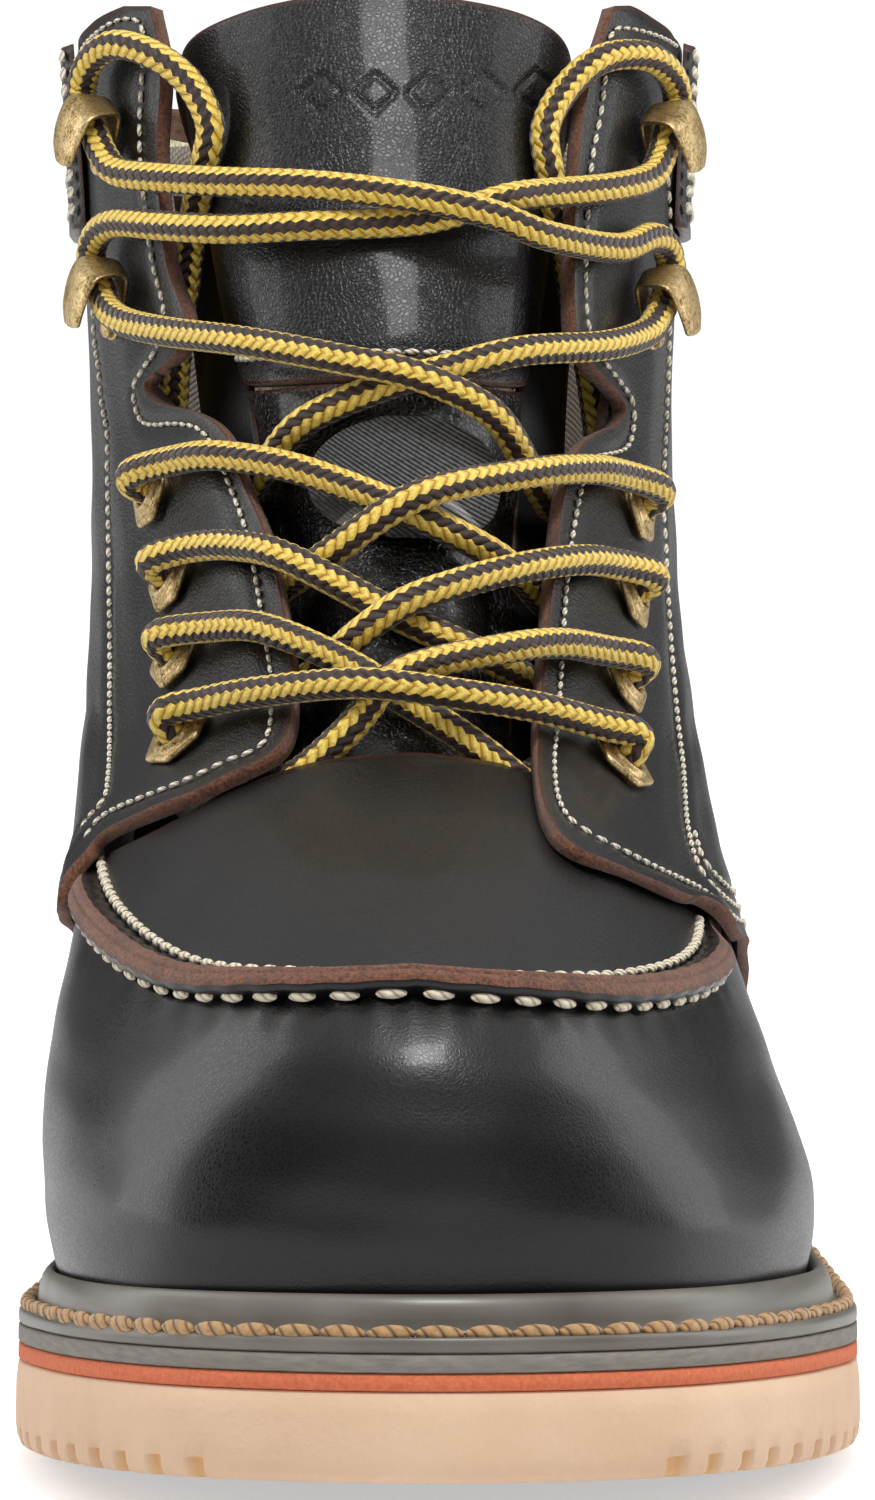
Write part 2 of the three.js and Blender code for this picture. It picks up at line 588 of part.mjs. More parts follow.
finish('apron', patch(20, APRON_ROWS, apronPlace, -LEATHER,
  (turn, level, v) => (v < 0.05 ? lipHeight(turn) : 0)), '#343136', 0.4);

// ---------------------------------------------------------------- quarters and back parts

const sideSign = { medial: -1, lateral: 1 };

function quarterShell(side) {
  const edge = FRONT_EDGE[side];
  const rows = edge.length - 1;
  const columns = 8;
  return shell(columns, rows, (i, j, face) => {
    const [turn0, level0] = edge[j];
    const u = (i / columns) ** 1.1;
    const turn = lerp(turn0, 0.998, u);
    const topRow = j === rows;
    const level = topRow ? topLevel(turn) : lerp(level0, lerp(0.05, 7.68, j / rows), u);
    return place(sideSign[side] * turn, level, QUARTER[face]);
  });
}

function barrelCutter([turn, level], radius) {
  const tool = new THREE.CylinderGeometry(radius, radius, 18, 8);
  tool.rotateX(Math.PI / 2);
  return tool.applyMatrix4(seat(turn, level, 0));
}

// Reinforcing strip under the facing, from the throat to the top.
function facingStay(side) {
  const edge = FRONT_EDGE[side].slice(9).map(([turn, level]) => [level, turn]);
  return patch(3, evenly(10), (u, v) => {
    const level = lerp(5.32, 7.75, v);
    return [sideSign[side] * (lookup(edge, level) + lerp(0.07, 0.22, u)), level];
  }, -1.9, -0.4);
}

function quarterLining(side) {
  const front = [[0.2, 0.6], [3.8, 0.6], [4.8, 0.5], [5.4, 0.46], [7.6, 0.46]];
  return patch(8, evenly(8), (u, v) => {
    const level = lerp(0.25, 7.55, v);
    return [sideSign[side] * lerp(lookup(front, level), 0.997, u), level];
  }, -4.9, -3.9);
}

['medial', 'lateral'].forEach((side) => {
  const cutters = EYELETS[side].map((spot) => barrelCutter(spot, BARREL_CLEARANCE));
  finish(`quarter_${side}`, cut(quarterShell(side), cutters), '#2f2e30', 0.4);
  finish(`facing_stay_${side}`, cut(facingStay(side), cutters), '#6b4632', 0.85);
  finish(`lining_${side}`, quarterLining(side), '#8c7a63', 0.9);
});

finish('vamp_lining', patch(18, evenly(6), (u, v) => {
  const level = lerp(0.3, 4.6, v);
  const half = lookup([[0, 0.57], [3.6, 0.57], [4.6, 0.38]], level);
  return [lerp(-half, half, u), level];
}, -6.9, -5.9), '#8c7a63', 0.9);

finish('heel_cover', patch(14, evenly(3), (u, v) => {
  const turn = lerp(0.82, 1.18, u);
  return [turn, lerp(0.06, 3.0 - 22 * (turn - 1) ** 2, v)];
}, ...OVERLAY), '#2b2a2c', 0.4);

finish('backstay', patch(2, evenly(6), (u, v) => [lerp(0.965, 1.035, u), lerp(3.08, 6.9, v)],
  ...OVERLAY), '#2b2a2c', 0.4);

finish('collar_band', patch(18, evenly(2), (u, v) => {
  const turn = lerp(0.46, 1.54, u);
  const low = lerp(7.0, 7.3, Math.abs(turn - 1) / 0.54);
  return [turn, lerp(low, topLevel(turn), v)];
}, ...OVERLAY), '#2b2a2c', 0.45);

finish('collar_padding', patch(14, evenly(2), (u, v) => {
  const turn = lerp(0.58, 1.42, u);
  return [turn, lerp(6.2, topLevel(turn) - 0.16, v)];
}, -3.3, -1.0), '#c8bf9a', 0.95);

// ---------------------------------------------------------------- tongue

// The tongue is crowned: proud between the facings, and sunk beneath them to
// leave room for the lace.
function tongueOffset(turn, level) {
  const crown = lookup([[5, -2.9], [5.4, -1.8], [6.7, -1.2], [7, 0.8], [8, 1.2]], level);
  const edge = lookup([[5, 0.12], [6, 0.14], [7, 0.22], [8, 0.24]], level);
  const reach = Math.min(Math.abs(turn) / edge, 1.3);
  return Math.max(crown - 4.6 * reach * reach, -7.4);
}

const TONGUE_HALF = [[4.9, 0.15], [5.6, 0.2], [6.6, 0.235], [7.4, 0.27], [8, 0.28]];
const tongueHalf = (level) => lookup(TONGUE_HALF, level);
const PANEL_LEVEL = 6.82;
const tongueTop = (side) => 7.97 - 0.13 * side * side - 0.12 * side ** 8;

function tonguePatch(low, high, narrow, thick, depth) {
  return patch(10, evenly(6), (u, v) => {
    const side = lerp(-1, 1, u);
    const top = high > 7 ? tongueTop(side) - (8 - high) : high;
    const level = lerp(low, top, v);
    return [side * (tongueHalf(level) - narrow), level];
  }, (turn, level) => tongueOffset(turn, level) - depth(level) - thick(level),
  (turn, level) => tongueOffset(turn, level) - depth(level));
}

const PADDING = [[5.2, 0.8], [6, 2.6], [7, 4.6], [7.6, 4.6], [8, 2.4]];
const padThickness = (level) => lookup(PADDING, level);
const liningDepth = (level) => padThickness(level) + 2.65;

const lowerTongue = tonguePatch(TONGUE_START, PANEL_LEVEL - 0.02, 0, () => 1.2, () => 0);
const upperTongue = tonguePatch(PANEL_LEVEL, 8, 0, () => 1.4, () => -0.2);
const tonguePad = tonguePatch(5.25, 7.9, 0.012, padThickness, () => 2.05);
const tongueLining = tonguePatch(5.25, 7.96, 0, () => 0.9, liningDepth);
finish('tongue_lower', lowerTongue, '#1f1f21', 0.4);
finish('tongue_upper', upperTongue, '#3a393b', 0.45);
finish('tongue_padding', tonguePad, '#c8bf9a', 0.95);
finish('tongue_lining', tongueLining, '#8c7a63', 0.9);

finish('tongue_label', patch(6, evenly(4), (u, v) => {
  const spread = Math.sqrt(Math.max(1 - (2 * v - 1) ** 2, 0.05));
  return [0.02 + lerp(-0.13, 0.13, u) * spread, lerp(6.17, 6.66, v)];
}, (turn, level) => tongueOffset(turn, level) + 1.15,
  (turn, level) => tongueOffset(turn, level) + 1.5), '#28282a', 0.9);

['medial', 'lateral'].forEach((side) => {
  finish(`gusset_${side}`, patch(2, evenly(4), (u, v) => {
    const level = lerp(5.15, 6.6, v);
    return [sideSign[side] * lerp(tongueHalf(level) + 0.015, tongueHalf(level) + 0.09, u), level];
  }, -8.3, -7.5), '#242426', 0.5);
});

// ---------------------------------------------------------------- metal fittings

// Six-sided plate with a raised rim round its hole and a barrel through the leather.
function eyeletPlate() {
  const corners = [[0, 6.4], [4.6, 3.4], [4.6, -3.4], [0, -6.4], [-4.6, -3.4], [-4.6, 3.4]];
  const outline = new THREE.Shape(corners.map(([x, y]) => new THREE.Vector2(x, y)));
  const plate = new THREE.ExtrudeGeometry(outline, { depth: 0.9, bevelEnabled: false });
  const barrel = new THREE.LatheGeometry([
    [EYELET_HOLE, -4.6], [EYELET_BARREL, -4.6], [EYELET_BARREL, 0.5], [EYELET_BARREL + 0.5, 1.2],
    [EYELET_HOLE, 1.5], [EYELET_HOLE, -4.6],
  ].map(([r, z]) => new THREE.Vector2(r, z)), 8);
  barrel.rotateX(Math.PI / 2);
  const drill = new THREE.CylinderGeometry(EYELET_HOLE + 0.3, EYELET_HOLE + 0.3, 6, 8);
  drill.rotateX(Math.PI / 2);
  return join(cut(plate, [drill]), barrel);
}

// Speed hook: a riveted foot, a riser towards the tongue and a tab bent back over it.
// The channel between foot and tab takes the lace.
const HOOK_WIDTH = 7;

function hookBody(side) {
  const strip = new THREE.Shape();
  const out = -sideSign[side];
  const outer = [[-7.4, 0], [3, 0], [3.9, 0.8], [4.1, 4.9], [3.2, 6.2], [1.8, 6.7], [-3.6, 7.2]];
  const inner = [[-3.6, 6.3], [1.7, 5.8], [2.8, 5.0], [2.9, 1.4], [2.4, 0.8], [-7.4, 0.8]];
  strip.setFromPoints([...outer, ...inner].map(([x, y]) => new THREE.Vector2(out * x, y)));
  strip.closePath();
  const body = new THREE.ExtrudeGeometry(strip, { depth: HOOK_WIDTH, bevelEnabled: false });
  return body.translate(0, 0, -HOOK_WIDTH / 2).rotateX(Math.PI / 2);
}

function hookRivet() {
  const head = new THREE.LatheGeometry([[0, 0], [1.8, 0], [1.5, 0.7], [0, 1.1], [0, 0]]
    .map(([r, z]) => new THREE.Vector2(r, z)), 8);
  return head.rotateX(Math.PI / 2);
}

const BRASS = '#8d7445';
const EYELET_LIFT = 0.6;
const HOOK_LIFT = 0.6;
const RIVET_REACH = 5.5;
const RIVET_LIFT = 1.1;

Object.keys(EYELETS).forEach((side) => {
  EYELETS[side].forEach(([turn, level, tilt], row) => {
    const geometry = eyeletPlate().applyMatrix4(seat(turn, level, QUARTER[1] + EYELET_LIFT, tilt));
    finish(`eyelet_${side}_${row + 1}`, geometry, BRASS, 0.4, 1);
  });
  HOOKS[side].forEach(([turn, level, tilt], row) => {
    const base = seat(turn, level, QUARTER[1] + HOOK_LIFT, tilt);
    const shift = new THREE.Matrix4().makeTranslation(sideSign[side] * RIVET_REACH, 0, RIVET_LIFT);
    const rivet = base.clone().multiply(shift);
    finish(`hook_${side}_${row + 1}`, hookBody(side).applyMatrix4(base), BRASS, 0.4, 1);
    finish(`hook_rivet_${side}_${row + 1}`, hookRivet().applyMatrix4(rivet), BRASS, 0.35, 1);
  });
});

// ---------------------------------------------------------------- lace

// Closed tube through the given centres, with one ring of corners at each.
function cordSolid(centres, radius, sides) {
  const path = new THREE.CatmullRomCurve3(centres, false, 'centripetal');
  const last = centres.length - 1;
  const points = [];
  const faces = [];
  const normal = new THREE.Vector3(0, 0, 1);
  centres.forEach((centre, k) => {
    const tangent = path.getTangent(k / last);
    normal.addScaledVector(tangent, -normal.dot(tangent)).normalize();
    const binormal = tangent.clone().cross(normal);
    for (let i = 0; i < sides; i += 1) {
      const angle = (2 * Math.PI * i) / sides;
      points.push(centre.clone().addScaledVector(normal, radius * Math.cos(angle))
        .addScaledVector(binormal, radius * Math.sin(angle)));
    }
  });
  for (let k = 0; k < last; k += 1) {
    for (let i = 0; i < sides; i += 1) {
      const a = k * sides + i;
      const b = k * sides + ((i + 1) % sides);
      faces.push([a, b, b + sides], [a, b + sides, a + sides]);
    }
  }
  for (let i = 1; i < sides - 1; i += 1) {
    faces.push([0, i + 1, i], [last * sides, last * sides + i, last * sides + i + 1]);
  }
  return closedGeometry(points, faces);
}

const laceCentres = LACE_ROUTE.map(([turn, level, offset]) => place(turn, level, offset));
finish('lace', cordSolid(laceCentres, LACE_RADIUS, 8), '#cfae4a', 0.8);

// A metal tip on each end of the lace, carrying on in its direction.
['medial', 'lateral'].forEach((side) => {
  const [tip, before] = side === 'medial' ? laceCentres : laceCentres.slice(-2).reverse();
  const along = tip.clone().sub(before).normalize();
  const start = tip.clone().addScaledVector(along, 0.3);
  const end = start.clone().addScaledVector(along, AGLET_LENGTH);
  const tube = cordSolid([start, start.clone().lerp(end, 0.5), end], AGLET_RADIUS, 8);
  finish(`aglet_${side}`, tube, '#6d5a34', 0.4, 1);
});

export default boot;
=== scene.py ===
"""Steel toe work boot, left foot, seen from the front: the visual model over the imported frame.

Metres, +Z up, toe towards -Y, medial side towards -X, as in the CAD.
"""
import math

import bpy
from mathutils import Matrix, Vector
import numpy as np


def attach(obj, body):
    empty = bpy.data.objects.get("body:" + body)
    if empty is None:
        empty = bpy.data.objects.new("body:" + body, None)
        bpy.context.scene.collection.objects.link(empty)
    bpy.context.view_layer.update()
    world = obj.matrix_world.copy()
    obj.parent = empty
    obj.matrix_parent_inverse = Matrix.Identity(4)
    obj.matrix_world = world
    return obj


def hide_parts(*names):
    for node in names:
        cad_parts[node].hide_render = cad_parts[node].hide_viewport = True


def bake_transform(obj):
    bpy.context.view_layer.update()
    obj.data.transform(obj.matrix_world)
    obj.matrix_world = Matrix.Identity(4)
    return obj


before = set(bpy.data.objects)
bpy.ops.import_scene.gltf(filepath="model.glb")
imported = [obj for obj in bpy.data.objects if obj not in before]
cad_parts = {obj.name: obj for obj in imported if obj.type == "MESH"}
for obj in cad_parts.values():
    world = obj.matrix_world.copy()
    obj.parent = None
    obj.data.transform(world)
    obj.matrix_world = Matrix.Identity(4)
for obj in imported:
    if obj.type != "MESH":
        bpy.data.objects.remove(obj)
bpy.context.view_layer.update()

# ---------------------------------------------------------------- camera
# A long lens in front of the toe, a little above the collar and tipped down.

MM = 0.001
SENSOR, LENS, FARTHEST = 36, 249.3, 60
CAMERA_PLACE, CAMERA_DIP = (0, -1.432, 0.225), 5.49
camera_data = bpy.data.cameras.new("camera")
camera_data.sensor_fit = "VERTICAL"
camera_data.sensor_height = SENSOR
camera_data.lens = LENS
camera_data.clip_end = FARTHEST
camera = bpy.data.objects.new("camera", camera_data)
camera.location = CAMERA_PLACE
camera.rotation_euler = (math.radians(90 - CAMERA_DIP), 0, 0)
bpy.context.scene.collection.objects.link(camera)
bpy.context.scene.camera = camera

# ---------------------------------------------------------------- lace
# One round braided polyester lace, yellow and dark brown, about 4 mm thick. It runs from
# inside the shaft through hooks and eyelets to the bar at the throat and back up.
# Its places are given on the skin of the last: [turn, level, millimetres off the skin].

LACE_DIAMETER = 4 * MM
LACE_STEP = 0.42 * MM
BRAID_PITCH, BRAID_SIDES, BRAID_ROWS = 1.8 * MM, 24, 4
STRIPE_SWAY, STRIPE_LEAN, BROWN_SHARE, STRAND_SLANT = 0.075, 0.002, 0.47, 0.8

# Rings of the last in millimetres, from the feather line up: front and back y, four
# heights, two centres, then five half-breadths on the lateral and on the medial side.
LAST = np.array([
    [-141, 138, 28.5, 21.5, 31, 38, -2.5, -7, 35.5, 52, 47.3, 36, 26, 34.5, 46, 37.5, 32.3, 25],
    [-143, 141, 41, 35, 45, 53, -2.5, -7, 35, 53, 49.2, 37.5, 27.3, 34, 48.3, 40, 34.3, 26.8],
    [-141, 142, 54.5, 50, 60, 69, -2.5, -7, 29.5, 47.5, 46.5, 37, 27.5, 30.5, 47.9, 42, 36.7, 27.5],
    [-131, 141, 67, 64, 73, 85, -3, -7, 24.6, 41.6, 43.3, 36.5, 27.3, 25.5, 44.2, 42.5, 37.2, 27.3],
    [-104, 138, 79, 78, 87, 100, -3, -8, 21.5, 34.5, 40.5, 36.1, 26.6, 22.1, 38.9, 42.3, 37.4, 26.8],
    [-61, 135, 92, 92, 101, 114, -4, -8, 18.9, 31.6, 38.7, 35.6, 25.6, 19.2, 34.4, 40.9, 37.2, 26.2],
    [-27, 133, 114, 113, 119, 130, -5, -8, 18, 30.3, 37.7, 35.6, 25.7, 18.6, 32.3, 40.1, 38.3, 27],
    [5, 131, 146, 145, 146, 151, -7, -8, 18.9, 31.2, 38.9, 36.6, 26.4, 19.2, 32.7, 40.1, 38.4, 27.2],
    [34, 129, 192, 189, 184, 180, -8, -8, 20.5, 35.6, 41.2, 38.6, 27.6, 20.9, 37.4, 42.2, 39.8, 28.2],
]) * MM
TOP_LEVEL = len(LAST) - 1


def spline(values, x, before, after):
    """Catmull-Rom through evenly spaced values, one column for each x if there are columns."""
    last = len(values) - 1
    x = np.clip(x, 0, last)
    i = np.minimum(x.astype(int), last - 1)
    f = x - i
    table = np.concatenate([[before], values, [after]])
    if table.ndim == 2 and table.shape[1] == len(i):
        p = [table[i + k, np.arange(len(i))] for k in range(4)]
    else:
        p = [table[i + k] for k in range(4)]
        f = f[:, None] if table.ndim == 2 else f
    cubic = 3 * p[1] - p[0] - 3 * p[2] + p[3]
    square = 2 * p[0] - 5 * p[1] + 4 * p[2] - p[3]
    return 0.5 * (2 * p[1] + (p[2] - p[0]) * f + square * f * f + cubic * f ** 3)


def open_spline(values, x):
    """The same with ends that run straight on."""
    values = np.asarray(values, float)
    return spline(values, x, 2 * values[0] - values[1], 2 * values[-1] - values[-2])


def breadth(stations, turn):
    """Half-breadth at a turn, from five stations between the toe's and the heel's ends."""
    values = np.vstack([0 * stations[:1], stations, 0 * stations[:1]])
    return spline(values, np.abs(turn) * 6, -values[1], -values[-2])


def lengthwise(turn):
    """How far along the foot a turn lies, from 0 at the toe to 1 at the heel."""
    return (1 - np.cos(np.pi * np.abs(turn))) / 2


def skin(turn, level):
    """Points of the last's skin: turn is 0 at the toe and 1 or -1 at the heel."""
    turn = (np.asarray(turn, float) + 1) % 2 - 1
    rings = open_spline(LAST, np.asarray(level, float))
    along = lengthwise(turn)
    lateral = (turn >= 0)[:, None]
    stations = np.where(lateral, rings[:, 8:13], rings[:, 13:18]).T
    half = breadth(stations, turn) * np.where(turn < 0, -1, 1)
    x = rings[:, 6] + (rings[:, 7] - rings[:, 6]) * along + half
    y = rings[:, 0] + (rings[:, 1] - rings[:, 0]) * along
    heights = rings[:, 2:6].T
    z = spline(heights, along * 3, 2 * heights[0] - heights[1], 2 * heights[3] - heights[2])
    return np.stack([x, y, z], 1)


def unit(vectors):
    return vectors / np.maximum(np.linalg.norm(vectors, axis=-1, keepdims=True), 1e-12)


def skin_normal(turn, level):
    low = np.maximum(np.asarray(level) - 0.005, 0)
    high = np.minimum(np.asarray(level) + 0.005, TOP_LEVEL)
    across = skin(turn + 0.001, level) - skin(turn - 0.001, level)
    return unit(np.cross(across, skin(turn, high) - skin(turn, low)))


def place(turn, level, offset):
    """Points at an offset, in millimetres, out of the skin; the inputs' shape is kept."""
    turn, level, offset = np.broadcast_arrays(turn, level, offset)
    t, h = turn.ravel().astype(float), level.ravel().astype(float)
    points = skin(t, h) + skin_normal(t, h) * (offset.ravel() * MM)[:, None]
    return points.reshape(turn.shape + (3,))


def lookup(pairs, x):
    """The straight-line value between pairs of (place, value)."""
    return np.interp(x, [p[0] for p in pairs], [p[1] for p in pairs])


def smooth(x, low, high):
    """A soft step from 0 at low to 1 at high."""
    t = np.clip((x - low) / (high - low), 0, 1)
    return t * t * (3 - 2 * t)


def spaced(points, step):
    """A smooth run through points, cut to even steps."""
    points = np.asarray(points, float)
    fine = open_spline(points, np.linspace(0, len(points) - 1, 24 * (len(points) - 1) + 1))
    run = np.concatenate([[0], np.cumsum(np.linalg.norm(np.diff(fine, axis=0), axis=1))])
    stops = np.linspace(0, run[-1], max(int(round(run[-1] / step)), 1) + 1)
    return np.stack([np.interp(stops, run, fine[:, k]) for k in range(fine.shape[1])], 1)


def link(obj):
    bpy.context.scene.collection.objects.link(obj)
    return obj


def mesh_piece(name, points, faces, materials, slots=None, uv=None, values=None, shade=True):
    """A piece from points and faces, with its UV map and its float attributes."""
    mesh = bpy.data.meshes.new(name)
    mesh.from_pydata(np.asarray(points, float).tolist(), [], [list(map(int, f)) for f in faces])
    for material in materials:
        mesh.materials.append(material)
    if slots is not None:
        mesh.polygons.foreach_set("material_index", np.asarray(slots, np.int32))
    if uv is not None:
        layer = mesh.uv_layers.new(name="UVMap")
        corners = np.empty(len(mesh.loops), np.int32)
        mesh.loops.foreach_get("vertex_index", corners)
        layer.data.foreach_set("uv", np.asarray(uv, np.float32)[corners].ravel())
    for key, data in (values or {}).items():
        attribute = mesh.attributes.new(key, "FLOAT", "POINT")
        attribute.data.foreach_set("value", np.asarray(data, np.float32))
    mesh.polygons.foreach_set("use_smooth", np.full(len(mesh.polygons), shade))
    mesh.validate()
    return link(bpy.data.objects.new(name, mesh))


def carried(path, start):
    """A normal and a binormal carried along a path without twist."""
    tangent = unit(np.gradient(path, axis=0))
    normal = np.empty_like(path)
    side = np.array(start, float)
    for k, t in enumerate(tangent):
        side = side - t * side.dot(t)
        side /= np.linalg.norm(side)
        normal[k] = side
    return normal, np.cross(tangent, normal)


def lofted(steps, around, closed=False):
    """Quads between rings of points that follow each other, and back to the first if closed."""
    ids = np.arange(steps * around).reshape(steps, around)
    after = np.roll(ids, -1, axis=0)
    used = slice(None) if closed else slice(0, steps - 1)
    quads = [ids, np.roll(ids, -1, axis=1), np.roll(after, -1, axis=1), after]
    return np.stack([corner[used] for corner in quads], -1).reshape(-1, 4)


def end_caps(steps, around):
    """The first ring, turned to face back, and the last."""
    first = list(range(around))
    return [first[::-1], [(steps - 1) * around + k for k in first]]


def settle(piece, node, body="root"):
    """Hides the CAD node a piece stands for and hangs the piece on the body it rides on."""
    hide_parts(node)
    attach(piece, body)


def tube(name, path, sides, reach, start, materials):
    """A closed tube round a path; reach(angle share, step) gives its radius."""
    normal, binormal = carried(path, start)
    share = np.arange(sides) / sides
    step, angle = np.meshgrid(np.arange(len(path)), share, indexing="ij")
    radius = reach(angle, step)
    turn = 2 * np.pi * angle
    rings = (path[:, None] + (np.cos(turn) * radius)[..., None] * normal[:, None]
             + (np.sin(turn) * radius)[..., None] * binormal[:, None])
    faces = lofted(len(path), sides).tolist() + end_caps(len(path), sides)
    return mesh_piece(name, rings.reshape(-1, 3), faces, materials)


def add(tree, kind, sockets=None, **settings):
    """A node with its settings and its inputs, each a value or another node's socket."""
    node = tree.nodes.new(kind)
    for key, value in settings.items():
        setattr(node, key, value)
    for key, value in (sockets or {}).items():
        if isinstance(value, bpy.types.NodeSocket):
            tree.links.new(value, node.inputs[key])
        else:
            node.inputs[key].default_value = value
    return node


def calc(tree, operation, a, b=0.0, c=0.0):
    return add(tree, "ShaderNodeMath", {0: a, 1: b, 2: c}, operation=operation).outputs[0]


def ramp(tree, factor, *stops):
    """A colour ramp: stops are (place, colour)."""
    node = add(tree, "ShaderNodeValToRGB", {"Fac": factor})
    elements = node.color_ramp.elements
    while len(elements) < len(stops):
        elements.new(0.5)
    for element, (position, colour) in zip(elements, stops):
        element.position = position
        element.color = (*colour, 1)
    return node.outputs["Color"]


def span(tree, value, low, high, to_low=0.0, to_high=1.0):
    """A value carried from one range to another and held inside it."""
    sockets = {"Value": value, "From Min": low, "From Max": high,
               "To Min": to_low, "To Max": to_high}
    return add(tree, "ShaderNodeMapRange", sockets).outputs[0]


def finish(name, **constants):
    """A new material with its Principled shader; constants go straight on the shader's sockets."""
    material = bpy.data.materials.new(name)
    material.use_nodes = True
    tree = material.node_tree
    shader = tree.nodes["Principled BSDF"]
    for key, value in constants.items():
        shader.inputs[key.replace("_", " ")].default_value = value
    return material, tree, shader


def mixed(tree, factor, a, b):
    """Colour mix whose inputs are colours or sockets."""
    node = add(tree, "ShaderNodeMix", data_type="RGBA")
    for socket, value in ((node.inputs[0], factor), (node.inputs[6], a), (node.inputs[7], b)):
        if isinstance(value, bpy.types.NodeSocket):
            tree.links.new(value, socket)
        elif isinstance(value, tuple):
            socket.default_value = (*value, 1)
        else:
            socket.default_value = value
    return node.outputs[2]


def set_shader(tree, shader, colour=None, roughness=None, height=None, depth=0.0001, strength=1.0):
    """Wires colour, roughness and a bump height, with its depth in metres, to the shader."""
    for key, value in (("Base Color", colour), ("Roughness", roughness)):
        if value is not None:
            tree.links.new(value, shader.inputs[key])
    if height is not None:
        sockets = {"Height": height, "Distance": depth, "Strength": strength}
        bump = add(tree, "ShaderNodeBump", sockets)
        tree.links.new(bump.outputs["Normal"], shader.inputs["Normal"])


def noise(tree, coords, scale, detail=2.0, roughness=0.5):
    sockets = {"Vector": coords, "Scale": scale, "Detail": detail, "Roughness": roughness}
    return add(tree, "ShaderNodeTexNoise", sockets).outputs["Fac"]


def object_coords(tree, stretch=None):
    coords = add(tree, "ShaderNodeTexCoord").outputs["Object"]
    if stretch is None:
        return coords
    return add(tree, "ShaderNodeMapping", {"Vector": coords, "Scale": stretch}).outputs["Vector"]


def uv_parts(tree):
    uv = add(tree, "ShaderNodeTexCoord").outputs["UV"]
    parts = add(tree, "ShaderNodeSeparateXYZ", {"Vector": uv})
    return parts.outputs["X"], parts.outputs["Y"]


